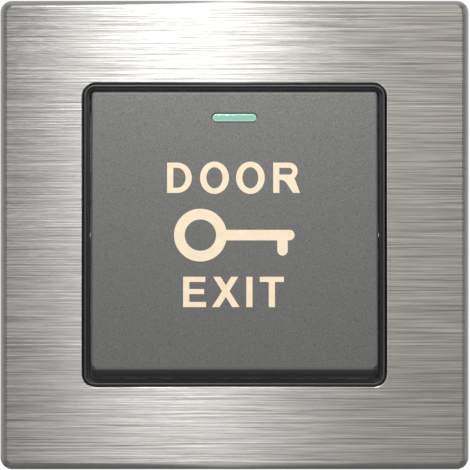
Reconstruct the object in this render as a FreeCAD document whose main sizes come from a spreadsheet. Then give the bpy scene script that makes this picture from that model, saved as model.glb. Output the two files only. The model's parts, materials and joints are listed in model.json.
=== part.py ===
"""Door exit push button on an 86 mm wall plate, in millimetres.

+Z is up and the face looks along -Y. The wall is the plane y = 0, and the origin is the middle of the two
screws into the wall box. Heights above the wall are named as positive numbers and stand at minus y.
"""
import FreeCAD, Part
import Sketcher
import math
import os
import re

SIZES = {
    # Run of a cutter past a face
    "past": 1.0,
    # Steel face
    "plate_over": 7.5,
    "plate_corner": 2.2,
    "plate_round": 1.2,
    "plate_front": 9.0,
    "skirt_gap": 1.2,
    "sheet": 0.8,
    "window_clear": 0.1,
    "window_bevel": 0.4,
    # Black moulding behind the steel, with the bezel
    "carrier_clear": 0.1,
    "carrier_web": 1.3,
    "carrier_rim": 1.5,
    "foot_flange": 0.45,
    "foot_height": 1.1,
    "bezel_width": 1.1,
    "bezel_ridge": 0.5,
    "bezel_stand": 0.35,
    "bezel_step": 0.45,
    "bezel_corner": 2.05,
    "lead_in": 1.1,
    "rib_thick": 1.0,
    "rib_height": 2.2,
    "rib_place": 22.0,
    "hook_place": 15.0,
    "hook_width": 4.0,
    "hook_thick": 1.2,
    "hook_end": 1.6,
    "hook_barb": 0.7,
    # Paddle
    "paddle_width": 52.5,
    "paddle_top": 26.3,
    "paddle_foot": 26.15,
    "paddle_gap": 0.25,
    "lip_edge": 24.5,
    "top_stand": 9.6,
    "foot_stand": 13.0,
    "lip_back": 9.4,
    "top_skirt": 5.5,
    "foot_skirt": 7.6,
    "paddle_wall": 1.8,
    "paddle_face": 2.0,
    "paddle_corner": 0.75,
    "lip_corner": 1.3,
    "paddle_round": 0.4,
    "stop_rib_place": 12.0,
    "stop_rib_thick": 1.4,
    "stop_rib_reach": 22.0,
    "stop_rib_width": 5.0,
    "rest_rib_stand": 6.3,
    "press_rib_stand": 9.0,
    "clip_place": 8.0,
    "clip_width": 4.0,
    "clip_thick": 1.0,
    "clip_barb": 0.6,
    # Turning of the paddle
    "pivot_stand": 5.0,
    "press_angle": 5.5,
    "pin_radius": 1.0,
    "pin_clear": 0.05,
    "pin_press": 0.01,
    "pin_inner": 18.7,
    "pin_outer": 23.9,
    # Cradle
    "beam_front": 8.4,
    "beam_thick": 2.0,
    "beam_height": 4.5,
    "beam_end": 21.5,
    "boss_width": 3.0,
    "boss_half": 2.0,
    "well_radius": 2.9,
    "well_start": 3.3,
    "well_floor": 2.4,
    "well_end": 7.0,
    # Plunger, measured from the pivot axis
    "plunger_radius": 1.8,
    "plunger_clear": 0.06,
    "plunger_back": 1.6,
    "plunger_shoulder": 8.4,
    "plunger_reach": 10.5,
    "plunger_nose": 0.6,
    "plunger_pocket": 3.0,
    "plunger_spring_radius": 1.05,
    "plunger_spring_wire": 0.35,
    "plunger_spring_pitch": 1.0,
    # Indicator
    "lens_place": 21.5,
    "lens_length": 8.0,
    "lens_height": 1.36,
    "slot_length": 8.55,
    "slot_height": 1.86,
    "lens_flange": 0.8,
    "lens_flange_over": 0.8,
    "lens_stub": 0.6,
    "board_length": 15.0,
    "board_height": 5.6,
    "board_thick": 1.0,
    "board_stand": 3.6,
    "board_post_place": 5.6,
    "board_post_half": 1.0,
    "led_length": 3.5,
    "led_height": 2.8,
    "led_base": 0.8,
    "led_dome": 1.1,
    "led_dome_rise": 0.7,
    "resistor_edge": 3.1,
    "resistor_length": 2.0,
    "resistor_height": 1.25,
    "resistor_thick": 0.6,
    # Chassis
    "bracket_thick": 1.0,
    "chassis_half": 25.0,
    "chassis_thick": 1.6,
    "chassis_corner": 3.0,
    "ear_inner": 22.0,
    "ear_thick": 2.0,
    "ear_radius": 2.4,
    "plunger_hole_half_x": 3.6,
    "plunger_hole_half_z": 4.4,
    "stop_place": 20.0,
    "post_half": 2.2,
    "buffer_half": 1.8,
    "buffer_height": 1.6,
    "buffer_gap": 0.1,
    "press_stop_stand": 6.7,
    "spring_place_x": 6.0,
    "spring_place_z": 15.0,
    "spring_radius": 2.25,
    "spring_wire": 0.5,
    "spring_pitch": 1.5,
    "spring_seat_stand": 10.0,
    "spigot_radius": 1.6,
    "spigot_height": 1.4,
    "spigot_rib": 0.8,
    "rivet_place_x": 23.0,
    "rivet_place_z": 22.3,
    "rivet_radius": 1.15,
    "rivet_clear": 0.05,
    "rivet_head": 1.9,
    "rivet_head_height": 0.6,
    # Bracket
    "slot_edge": 5.35,
    "bracket_corner": 4.0,
    "bracket_window_clear": 0.4,
    "box_screw_half": 30.15,
    "box_slot_length": 7.0,
    "box_slot_radius": 2.25,
    "flange_half": 20.0,
    "flange_stand": 4.5,
    "flange_thick": 0.8,
    "catch_near": 1.8,
    "catch_far": 3.5,
    "catch_clear": 0.2,
    # Case
    "case_half_x": 21.0,
    "case_half_z": 19.0,
    "case_wall": 1.6,
    "case_rim": 1.0,
    "case_floor": 8.4,
    "case_back": 11.0,
    "case_corner": 1.5,
    "block_half_x": 19.5,
    "block_height": 15.0,
    "block_back": 17.5,
    "bay_pitch": 13.0,
    "bay_half": 5.8,
    "bay_height": 13.5,
    "boss_place_x": 18.4,
    "boss_place_z": 8.0,
    "case_boss_half": 2.2,
    "case_screw_radius": 1.05,
    "case_screw_clear": 0.05,
    "case_screw_head": 2.1,
    "case_screw_head_height": 1.4,
    "case_screw_slot": 0.55,
    "case_screw_tip": 0.4,
    "case_screw_spare": 0.3,
    # Contacts
    "fulcrum_depth": 6.5,
    "fulcrum_radius": 0.5,
    "fulcrum_neck": 0.4,
    "fulcrum_clear": 0.05,
    "blade_tilt": 3.6,
    "blade_front": 0.9,
    "blade_back": 0.3,
    "blade_half_x": 1.5,
    "blade_half_z": 7.2,
    "contact_place": 6.0,
    "contact_half": 1.0,
    "contact_height": 0.45,
    "fixed_contact_height": 0.4,
    # Terminals
    "strip_thick": 0.8,
    "strip_half": 1.5,
    "strip_over": 1.5,
    "ear_side_clear": 0.25,
    "ear_side_thick": 0.7,
    "ear_side_rise": 2.6,
    "riser_edge": 2.0,
    "riser_clear": 0.1,
    "tab_half": 4.6,
    "tab_edge": 12.6,
    "tab_thick": 0.9,
    "com_arm_inner": 2.0,
    "terminal_screw_edge": 9.4,
    "terminal_screw_radius": 1.5,
    "terminal_screw_clear": 0.05,
    "terminal_bore_clear": 0.2,
    "terminal_bore_skin": 0.4,
    "terminal_screw_head": 2.8,
    "terminal_screw_head_height": 2.1,
    "terminal_screw_length": 3.4,
    "terminal_slot_width": 0.8,
    "terminal_slot_depth": 1.0,
    "clamp_half": 3.6,
    "clamp_thick": 0.8,
    "clamp_lip": 0.7,
}

BRACKET_HALF = "(box_screw_half + slot_edge)"
PLATE_HALF = f"({BRACKET_HALF} + plate_over)"
PADDLE_HALF = "(paddle_width / 2)"
BEZEL_HALF = f"({PADDLE_HALF} + paddle_gap + bezel_width)"
WINDOW_HALF = f"({BEZEL_HALF} + window_clear)"
CARRIER_HALF = f"({PLATE_HALF} - sheet - carrier_clear)"
CARRIER_FRONT = "(plate_front - sheet)"
WEB_BACK = f"({CARRIER_FRONT} - carrier_web)"
BEZEL_FRONT = "(plate_front + bezel_stand)"
CHASSIS_FRONT = "(bracket_thick + chassis_thick)"
FACE_SLOPE = "((foot_stand - top_stand) / (paddle_top + lip_edge))"
LEAN = "(press_angle / 2)"
STRIP_FRONT = "(case_floor - strip_thick)"
TAB_BACK = "(case_back + tab_thick)"
CLAMP_BACK = f"({TAB_BACK} + clamp_thick)"
REST_POST = "(rest_rib_stand - buffer_gap - buffer_height)"
PRESS_POST = "(press_stop_stand - buffer_height)"
CHAMBER_HALF_X = "(case_half_x - case_wall)"
CHAMBER_HALF_Z = "(case_half_z - case_wall)"
BLOCK_TOP = "(case_half_z - block_height)"
BAY_TOP = "(case_half_z - bay_height)"
RISER_LOW = "(case_half_z - riser_edge)"
TAB_TOP = "(case_half_z - tab_edge)"
TERMINAL_SCREW_Z = "(case_half_z - terminal_screw_edge)"

SIDES = (-1, 1)
RUNS_A_TURN = 8
AXIS_X = FreeCAD.Vector(1, 0, 0)
AXIS_Y = FreeCAD.Vector(0, 1, 0)
TURNS = {"X": FreeCAD.Rotation(AXIS_Y, 90), "Y": FreeCAD.Rotation(AXIS_X, -90)}

doc = FreeCAD.newDocument("exit_button")


def fill_sheet():
    """Put each driving dimension in a cell of its own, under its name."""
    sheet = doc.addObject("Spreadsheet::Sheet", "Sizes")
    for row, (alias, value) in enumerate(SIZES.items(), start=1):
        sheet.set(f"A{row}", str(value))
        sheet.setAlias(f"A{row}", alias)
    doc.recompute()
    return sheet


sheet = fill_sheet()


def size(alias):
    """The value of a driving dimension, for choosing edges."""
    return float(sheet.get(alias))


def plate_half():
    """Half the side of the square face, which covers the bracket all round."""
    return size("box_screw_half") + size("slot_edge") + size("plate_over")


def bind(thing, prop, text):
    """Tie a property to an expression in the names of the sheet."""

    def in_sheet(word):
        return "Sizes." + word[0] if word[0] in SIZES else word[0]

    thing.setExpression(prop, re.sub(r"[a-z][a-z_]*", in_sheet, str(text)))


def face_at(height, depth="0"):
    """The y of the paddle's front face at a height above the centre, or of a plane some depth behind it."""
    return f"(-top_stand - (paddle_top - ({height})) * {FACE_SLOPE} + {depth})"


class Piece:
    """A body whose features are added one after another, each bound to the sheet."""

    def __init__(self, name):
        self.body = doc.addObject("PartDesign::Body", name)
        self.body.Label = name
        self.tip = None

    def _feature(self, kind, values, base, turn):
        feature = self.body.newObject("PartDesign::" + kind, f"{self.body.Name}_{kind}")
        for prop, text in values.items():
            bind(feature, prop, text)
        if turn in TURNS:
            feature.Placement = FreeCAD.Placement(FreeCAD.Vector(), TURNS[turn])
        elif turn:
            feature.Placement = FreeCAD.Placement(FreeCAD.Vector(), FreeCAD.Rotation(AXIS_X, 1))
            bind(feature, "Placement.Rotation.Angle", turn)
        for axis, text in zip("xyz", base):
            bind(feature, f"Placement.Base.{axis}", text)
        doc.recompute()
        self.tip = feature
        return self

    def _box(self, kind, x, y, z):
        spans = [f"({high}) - ({low})" for low, high in (x, y, z)]
        return self._feature(kind, dict(zip(("Length", "Width", "Height"), spans)), (x[0], y[0], z[0]), None)

    def add_box(self, x, y, z):
        """Add a block between the low and high corner."""
        return self._box("AdditiveBox", x, y, z)

    def cut_box(self, x, y, z):
        """Take away a block between the low and high corner."""
        return self._box("SubtractiveBox", x, y, z)

    def add_rod(self, radius, length, base, turn="Y"):
        """Add a cylinder that starts at base and runs along an axis, or turned by an angle about X."""
        return self._feature("AdditiveCylinder", {"Radius": radius, "Height": length}, base, turn)

    def cut_rod(self, radius, length, base, turn="Y"):
        """Take away a cylinder."""
        return self._feature("SubtractiveCylinder", {"Radius": radius, "Height": length}, base, turn)

    def add_cone(self, start, end, length, base, turn="Y"):
        """Add a cone between two radii."""
        return self._feature("AdditiveCone", {"Radius1": start, "Radius2": end, "Height": length}, base, turn)

    def _sketch(self, points, start):
        """A closed outline in the YZ plane, each corner held by its own two distances."""
        sketch = self.body.newObject("Sketcher::SketchObject", self.body.Name + "_outline")
        plane = next(o for o in self.body.Origin.OriginFeatures if o.Role == "YZ_Plane")
        sketch.AttachmentSupport = (plane, "")
        sketch.MapMode = "FlatFace"
        bind(sketch, "AttachmentOffset.Base.z", start)
        count = len(points)
        turn = 2 * math.pi / count
        ring = [FreeCAD.Vector(math.cos(turn * i), math.sin(turn * i), 0) for i in range(count)]
        for i in range(count):
            sketch.addGeometry(Part.LineSegment(ring[i], ring[(i + 1) % count]), False)
        for i in range(count):
            sketch.addConstraint(Sketcher.Constraint("Coincident", i, 2, (i + 1) % count, 1))
        for i, corner in enumerate(points):
            for kind, text, now in zip(("DistanceX", "DistanceY"), corner, ring[i]):
                index = sketch.addConstraint(Sketcher.Constraint(kind, -1, 1, i, 1, now))
                bind(sketch, f"Constraints[{index}]", text)
        return sketch

    def _rounded_sketch(self, half_x, half_z, radius, back):
        """A rectangle with round corners about the centre, in a plane parallel to the wall."""
        sketch = self.body.newObject("Sketcher::SketchObject", self.body.Name + "_outline")
        plane = next(o for o in self.body.Origin.OriginFeatures if o.Role == "XZ_Plane")
        sketch.AttachmentSupport = (plane, "")
        sketch.MapMode = "FlatFace"
        bind(sketch, "AttachmentOffset.Base.z", f"-({back})")
        up = FreeCAD.Vector(0, 0, 1)
        corners = ((1, 1), (-1, 1), (-1, -1), (1, -1))
        for i, (right, top) in enumerate(corners):
            circle = Part.Circle(FreeCAD.Vector(2 * right, 2 * top, 0), up, 1)
            sketch.addGeometry(Part.ArcOfCircle(circle, math.pi / 2 * i, math.pi / 2 * (i + 1)), False)
        for i in range(4):
            start = sketch.getPoint(i, 2)
            end = sketch.getPoint((i + 1) % 4, 1)
            sketch.addGeometry(Part.LineSegment(start, end), False)
        for i, (right, top) in enumerate(corners):
            flat, steep = ("Horizontal", "Vertical") if right == top else ("Vertical", "Horizontal")
            sketch.addConstraint(Sketcher.Constraint(flat, i, 3, i, 1))
            sketch.addConstraint(Sketcher.Constraint(steep, i, 3, i, 2))
            sketch.addConstraint(Sketcher.Constraint("Coincident", i, 2, 4 + i, 1))
            sketch.addConstraint(Sketcher.Constraint("Coincident", 4 + i, 2, (i + 1) % 4, 1))
            for kind, sign, half in (("DistanceX", right, half_x), ("DistanceY", top, half_z)):
                index = sketch.addConstraint(Sketcher.Constraint(kind, -1, 1, i, 3, 2 * sign))
                bind(sketch, f"Constraints[{index}]", f"{sign} * (({half}) - ({radius}))")
            index = sketch.addConstraint(Sketcher.Constraint("Radius", i, 1))
            bind(sketch, f"Constraints[{index}]", radius)
        return sketch

    def _extrude(self, kind, sketch, length):
        feature = self.body.newObject("PartDesign::" + kind, f"{self.body.Name}_{kind}")
        feature.Profile = sketch
        bind(feature, "Length", length)
        feature.Reversed = kind == "Pocket"
        doc.recompute()
        self.tip = feature
        return self

    def add_plate(self, half_x, half_z, radius, y):
        """Add a centred plate with round corners between two y planes."""
        sketch = self._rounded_sketch(half_x, half_z, radius, y[1])
        return self._extrude("Pad", sketch, f"({y[1]}) - ({y[0]})")

    def cut_plate(self, half_x, half_z, radius, y):
        """Take away a centred plate with round corners between two y planes."""
        sketch = self._rounded_sketch(half_x, half_z, radius, y[1])
        return self._extrude("Pocket", sketch, f"({y[1]}) - ({y[0]})")

    def pad(self, points, x):
        """Add a side outline of (y, z) corners between two x planes."""
        return self._extrude("Pad", self._sketch(points, x[0]), f"({x[1]}) - ({x[0]})")

    def pocket(self, points, x):
        """Take away a side outline of (y, z) corners between two x planes."""
        return self._extrude("Pocket", self._sketch(points, x[0]), f"({x[1]}) - ({x[0]})")

    def _edges(self, pick):
        names = [f"Edge{i}" for i, edge in enumerate(self.tip.Shape.Edges, 1) if pick(edge)]
        if not names:
            raise ValueError("no edge to finish on " + self.body.Label)
        return names

    def round(self, pick, radius):
        """Round the edges that pick accepts."""
        feature = self.body.newObject("PartDesign::Fillet", self.body.Name + "_round")
        feature.Base = (self.tip, self._edges(pick))
        bind(feature, "Radius", radius)
        doc.recompute()
        self.tip = feature
        return self

    def bevel(self, pick, width):
        """Bevel the edges that pick accepts."""
        feature = self.body.newObject("PartDesign::Chamfer", self.body.Name + "_bevel")
        feature.Base = (self.tip, self._edges(pick))
        bind(feature, "Size", width)
        doc.recompute()
        self.tip = feature
        return self

    def place(self, base, angle):
        """Move the finished piece and turn it about the X axis."""
        self.body.Placement = FreeCAD.Placement(FreeCAD.Vector(), FreeCAD.Rotation(AXIS_X, 1))
        bind(self.body, "Placement.Rotation.Angle", angle)
        for axis, text in zip("xyz", base):
            bind(self.body, f"Placement.Base.{axis}", text)
        return self


NEAR = 0.02


def near(a, b):
    """Whether two lengths are the same within drawing accuracy."""
    return abs(a - b) < NEAR


def lies_along(edge, axis):
    """Whether an edge is a straight line along a row axis."""
    box = edge.BoundBox
    spans = {"x": box.XLength, "y": box.YLength, "z": box.ZLength}
    return spans.pop(axis) > NEAR and max(spans.values()) < NEAR


def loop_at(y, reach, inside=0.0):
    """Pick the closed loop of edges in the plane y whose farthest point lies between two distances."""

    def pick(edge):
        box = edge.BoundBox
        far = max(abs(box.XMin), abs(box.XMax), abs(box.ZMin), abs(box.ZMax))
        return box.YLength < NEAR and near(box.YMin, y) and inside + NEAR < far < reach + NEAR

    return pick


def group(name, pieces):
    """Several like solids under one name."""
    members = doc.addObject("Part::Compound", name)
    members.Label = name
    members.Links = [piece.body for piece in pieces]
    return members


def coil(radius, wire, pitch, length):
    """One wound spring of square wire along +Y, as short straight runs with mitred corners."""
    turns = (length - wire) / pitch
    count = round(RUNS_A_TURN * turns)
    points = []
    for i in range(count + 1):
        angle = 2 * math.pi * turns * i / count
        points.append(FreeCAD.Vector(radius * math.cos(angle), wire / 2 + (length - wire) * i / count,
                                     radius * math.sin(angle)))
    path = Part.makePolygon(points)
    half = wire / 2
    corners = ((-half, -half), (half, -half), (half, half), (-half, half), (-half, -half))
    section = [points[0] + FreeCAD.Vector(x, y, 0) for x, y in corners]
    return path.makePipeShell([Part.makePolygon(section)], True, False, 1)


def spring(name, sizes, bases, angle=0.0):
    """Like springs under one name, each from its base along +Y, turned about the X axis."""
    one = coil(*sizes)
    turned = FreeCAD.Rotation(AXIS_X, angle)
    copies = []
    for base in bases:
        copy = one.copy()
        copy.Placement = FreeCAD.Placement(base, turned)
        copies.append(copy)
    feature = doc.addObject("Part::Feature", name)
    feature.Label = name
    feature.Shape = Part.makeCompound(copies)
    return feature


# Steel face

def build_face_plate():
    """Folded sheet with a rounded front edge and a bevelled square window."""
    front = -size("plate_front")
    piece = Piece("face_plate")
    piece.add_plate(PLATE_HALF, PLATE_HALF, "plate_corner", ("-plate_front", "-skirt_gap"))
    piece.round(loop_at(front, plate_half()), "plate_round")
    inside = f"({PLATE_HALF} - sheet)"
    piece.cut_plate(inside, inside, "plate_corner - sheet", (f"-{CARRIER_FRONT}", "past - skirt_gap"))
    window = size("paddle_width") / 2 + size("paddle_gap") + size("bezel_width") + size("window_clear")
    through = ("-plate_front - past", f"-{CARRIER_FRONT} + past")
    piece.cut_plate(WINDOW_HALF, WINDOW_HALF, "bezel_corner + window_clear", through)
    piece.bevel(loop_at(front, window), "window_bevel")
    return piece.body


# Black moulding behind the steel

def build_face_carrier():
    """Tray that fills the steel face, with the stepped bezel in the window, ribs and snap hooks."""
    half = plate_half() - size("sheet") - size("carrier_clear")
    inner = size("paddle_width") / 2 + size("paddle_gap")
    bezel = inner + size("bezel_width")
    step = bezel - size("bezel_ridge")
    web_back = -(size("plate_front") - size("sheet") - size("carrier_web"))
    ledge = f"({BEZEL_FRONT} - bezel_step)"
    foot = f"({CARRIER_HALF} + foot_flange)"
    rim = f"({CARRIER_HALF} - carrier_rim)"
    piece = Piece("face_carrier")
    corner = "(plate_corner - sheet)"
    piece.add_plate(CARRIER_HALF, CARRIER_HALF, corner, (f"-{CARRIER_FRONT}", "0"))
    piece.bevel(loop_at(-(size("plate_front") - size("sheet")), half), "plate_round - sheet + carrier_clear")
    piece.add_plate(foot, foot, corner, ("-foot_height", "0"))
    piece.cut_box((f"-{rim}", rim), (f"-{WEB_BACK}", "past"), (f"-{rim}", rim))
    piece.add_plate(BEZEL_HALF, BEZEL_HALF, "bezel_corner", (f"-{BEZEL_FRONT}", f"-{WEB_BACK}"))
    piece.bevel(loop_at(-(size("plate_front") + size("bezel_stand")), bezel), "bezel_ridge / 3")
    cut = f"({BEZEL_HALF} - bezel_ridge)"
    piece.cut_plate(cut, cut, "bezel_corner - bezel_ridge", (f"-{BEZEL_FRONT} - past", f"-{ledge}"))
    piece.bevel(loop_at(-(size("plate_front") + size("bezel_stand")), step), "bezel_ridge / 4")
    hole = f"({PADDLE_HALF} + paddle_gap)"
    through = (f"-{BEZEL_FRONT} - past", f"-{WEB_BACK} + past")
    piece.cut_plate(hole, hole, "paddle_corner + paddle_gap", through)
    piece.bevel(loop_at(web_back, inner), "lead_in")
    add_carrier_ribs(piece, rim)
    add_carrier_hooks(piece)
    return piece.body


def add_carrier_ribs(piece, rim):
    """Stiffening ribs across the web on all four sides, clear of the screws at mid height."""
    start = f"({BEZEL_HALF} + lead_in)"
    deep = (f"-{WEB_BACK}", f"-{WEB_BACK} + rib_height")
    for side in SIDES:
        across = (f"{side} * rib_place - rib_thick / 2", f"{side} * rib_place + rib_thick / 2")
        for low, high in ((start, rim), (f"-{rim}", f"-{start}")):
            piece.add_box(across, deep, (low, high))
            piece.add_box((low, high), deep, across)


def add_carrier_hooks(piece):
    """Four snap hooks whose barbs reach into the bracket's catches."""
    for x_side in SIDES:
        across = (f"{x_side} * hook_place - hook_width / 2", f"{x_side} * hook_place + hook_width / 2")
        for side in SIDES:
            inner = f"({BRACKET_HALF} + catch_clear * 2)"
            arm = [f"{side} * {inner}", f"{side} * ({inner} + hook_thick)"]
            barb = [f"{side} * ({inner} - hook_barb)", f"{side} * {inner}"]
            if side < 0:
                arm.reverse()
                barb.reverse()
            piece.add_box(across, (f"-{WEB_BACK}", "-hook_end"), arm)
            piece.add_box(across, ("-catch_far + catch_clear", "-catch_near - catch_clear"), barb)


# Paddle

def build_rocker_paddle():
    """Hollow wedge with a slanted lip, the lens slot, stop ribs, spring seats and clips."""
    half = size("paddle_width") / 2
    piece = Piece("rocker_paddle")
    outline = [("-top_stand", "paddle_top"), ("-foot_stand", "-lip_edge"), ("-lip_back", "-paddle_foot"),
               ("-foot_skirt", "-paddle_foot"), ("-top_skirt", "paddle_top")]
    piece.pad(outline, (f"-{PADDLE_HALF}", PADDLE_HALF))

    def side_edge(edge):
        box = edge.BoundBox
        return box.XLength < NEAR and near(abs(box.Center.x), half)

    piece.round(lambda e: side_edge(e) and near(e.BoundBox.ZMin, size("paddle_top")), "paddle_corner")
    piece.round(lambda e: side_edge(e) and e.BoundBox.ZMax < -size("lip_edge") + NEAR, "lip_corner")
    piece.round(front_loop, "paddle_round")
    inner = f"({PADDLE_HALF} - paddle_wall)"
    cavity = [(face_at("paddle_top - paddle_wall", "paddle_face"), "paddle_top - paddle_wall"),
              (face_at("-lip_edge + paddle_wall / 2", "paddle_face"), "-lip_edge + paddle_wall / 2"),
              ("-lip_back", "-paddle_foot + paddle_wall"), ("0", "-paddle_foot + paddle_wall"),
              ("0", "paddle_top - paddle_wall")]
    piece.pocket(cavity, (f"-{inner}", inner))
    add_stop_ribs(piece)
    add_spring_seats(piece)
    add_paddle_clips(piece)
    cut_lens_slot(piece)
    return piece.body


def front_loop(edge):
    """Pick the edges round the paddle's front face: its four lines and the corners that join them."""
    slope = (size("foot_stand") - size("top_stand")) / (size("paddle_top") + size("lip_edge"))
    for vertex in edge.Vertexes:
        on_face = -size("top_stand") - (size("paddle_top") - vertex.Z) * slope
        if abs(vertex.Y - on_face) > NEAR:
            return False
    return True


def add_stop_ribs(piece):
    """Two long ribs that seat on the cradle and meet the rubber buffers at both ends."""
    depth = "paddle_face / 2"
    for side in SIDES:
        place = f"{side} * stop_rib_place"
        across = (f"{place} - stop_rib_thick / 2", f"{place} + stop_rib_thick / 2")
        inner = "(stop_rib_reach - stop_rib_width)"
        outline = [(face_at("stop_rib_reach", depth), "stop_rib_reach"),
                   (face_at("-stop_rib_reach", depth), "-stop_rib_reach"),
                   ("-press_rib_stand", "-stop_rib_reach"), ("-press_rib_stand", f"-{inner}"),
                   ("-beam_front", "-beam_height - paddle_wall"),
                   ("-beam_front", "beam_height + paddle_wall"),
                   ("-rest_rib_stand", inner), ("-rest_rib_stand", "stop_rib_reach")]
        piece.pad(outline, across)


def add_spring_seats(piece):
    """A flat pad and a cross-shaped locator for each return spring."""
    start = face_at("-spring_place_z", "paddle_face / 2")
    half = "(spring_radius + spring_wire)"
    for side in SIDES:
        x = f"{side} * spring_place_x"
        piece.add_box((f"{x} - {half}", f"{x} + {half}"), (start, "-spring_seat_stand"),
                      (f"-spring_place_z - {half}", f"-spring_place_z + {half}"))
        add_spring_cross(piece, x, (start, "-spring_seat_stand + spigot_height"))


def add_spring_cross(piece, x, y):
    """Two crossed ribs that keep a spring's end in place."""
    thin = "spigot_rib / 2"
    piece.add_box((f"{x} - spigot_radius", f"{x} + spigot_radius"), y,
                  (f"-spring_place_z - {thin}", f"-spring_place_z + {thin}"))
    piece.add_box((f"{x} - {thin}", f"{x} + {thin}"), y,
                  ("-spring_place_z - spigot_radius", "-spring_place_z + spigot_radius"))


def add_paddle_clips(piece):
    """Four clips that grip the back of the cradle's beam."""
    back = "(beam_front - beam_thick)"
    for x_side in SIDES:
        across = (f"{x_side} * clip_place - clip_width / 2", f"{x_side} * clip_place + clip_width / 2")
        for side in SIDES:
            outer = f"{side} * (beam_height + catch_clear / 2 + clip_thick)"
            inner = f"{side} * (beam_height + catch_clear / 2)"
            tip = f"{side} * (beam_height + catch_clear / 2 - clip_barb)"
            outline = [(face_at(outer, "paddle_face / 2"), outer), (f"-{back} + clip_thick", outer),
                       (f"-{back} + clip_thick", inner), (f"-{back} + catch_clear / 2", tip),
                       (f"-{back} + catch_clear / 2 - clip_barb / 10", inner),
                       (face_at(inner, "paddle_face / 2"), inner)]
            piece.pad(outline, across)


def cut_lens_slot(piece):
    """The indicator's slot with full-round ends."""
    radius = "(slot_height / 2)"
    middle = f"(slot_length / 2 - {radius})"
    front = face_at("lens_place", "-past")
    deep = "paddle_face + 3 * past"
    piece.cut_box((f"-{middle}", middle), (front, f"{front} + {deep}"),
                  (f"lens_place - {radius}", f"lens_place + {radius}"))
    for side in SIDES:
        piece.cut_rod(radius, deep, (f"{side} * {middle}", front, "lens_place"))


def build_indicator_lens():
    """Light guide with full-round ends, a flange behind the paddle's face and a stub towards the lamp."""
    radius = "(lens_height / 2)"
    middle = f"(lens_length / 2 - {radius})"
    piece = Piece("indicator_lens")
    piece.add_box((f"-{middle}", middle), ("0", "paddle_face"), (f"-{radius}", radius))
    for side in SIDES:
        piece.add_rod(radius, "paddle_face", (f"{side} * {middle}", "0", "0"))
    over = "(lens_length / 2 + lens_flange_over)"
    rise = "(lens_height / 2 + lens_flange_over)"
    piece.add_box((f"-{over}", over), ("paddle_face", "paddle_face + lens_flange"), (f"-{rise}", rise))
    piece.add_box((f"-{middle}", middle), ("paddle_face", "paddle_face + lens_flange + lens_stub"),
                  (f"-{radius}", radius))
    piece.place(("0", face_at("lens_place"), "lens_place"), f"-atan({FACE_SLOPE})")
    return piece.body


# Cradle and plunger

def build_rocker_cradle():
    """Beam that the paddle clips to, with two pivot bosses and the inclined plunger well."""
    piece = Piece("rocker_cradle")
    piece.add_box(("-beam_end", "beam_end"), ("-beam_front", "-beam_front + beam_thick"),
                  ("-beam_height", "beam_height"))
    for side in SIDES:
        start = "(beam_end - boss_width)" if side > 0 else "-beam_end"
        piece.add_box((start, f"{start} + boss_width"),
                      ("-beam_front + beam_thick / 2", "-pivot_stand + boss_half"),
                      ("-boss_half", "boss_half"))
    turn = f"-90 - {LEAN}"

    def on_axis(reach):
        return ("0", f"-pivot_stand + ({reach}) * cos({LEAN})", f"-({reach}) * sin({LEAN})")

    piece.add_rod("well_radius", "well_start + well_end", on_axis("-well_start"), turn)
    bore = "plunger_radius + plunger_clear"
    piece.cut_rod(bore, "well_floor + well_end + past", on_axis("-well_floor"), turn)
    for side in SIDES:
        start = "beam_end - boss_width - past" if side > 0 else "-beam_end - past"
        piece.cut_rod("pin_radius + pin_press", "boss_width + 2 * past", (start, "-pivot_stand", "0"), "X")
    return piece.body


def build_pivot_pins():
    """Two steel pins, pressed in the cradle and turning in the chassis ears."""
    pins = []
    for side in SIDES:
        piece = Piece(f"pivot_pin_{'right' if side > 0 else 'left'}")
        start = "pin_inner" if side > 0 else "-pin_outer"
        piece.add_rod("pin_radius", "pin_outer - pin_inner", (start, "-pivot_stand", "0"), "X")
        pins.append(piece)
    return group("pivot_pins", pins)


def build_plunger():
    """Turned plunger with a spring pocket and a tapered nose."""
    piece = Piece("plunger")
    piece.add_rod("plunger_radius", "plunger_shoulder - plunger_back", ("0", "plunger_back", "0"))
    piece.add_cone("plunger_radius", "plunger_nose", "plunger_reach - plunger_shoulder",
                   ("0", "plunger_shoulder", "0"))
    piece.cut_rod("plunger_spring_radius + plunger_spring_wire", "plunger_pocket + past",
                  ("0", "plunger_back - past", "0"))
    piece.place(("0", "-pivot_stand", "0"), f"-{LEAN}")
    return piece.body


def build_plunger_spring():
    """Spring from the floor of the well to the bottom of the plunger's pocket."""
    lean = math.radians(size("press_angle") / 2)
    start = size("well_floor")
    base = FreeCAD.Vector(0, -size("pivot_stand") - start * math.cos(lean), start * math.sin(lean))
    length = start + size("plunger_back") + size("plunger_pocket")
    wound = (size("plunger_spring_radius"), size("plunger_spring_wire"), size("plunger_spring_pitch"), length)
    return spring("plunger_spring", wound, [base], -math.degrees(lean))


# Chassis and what sits on it

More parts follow.
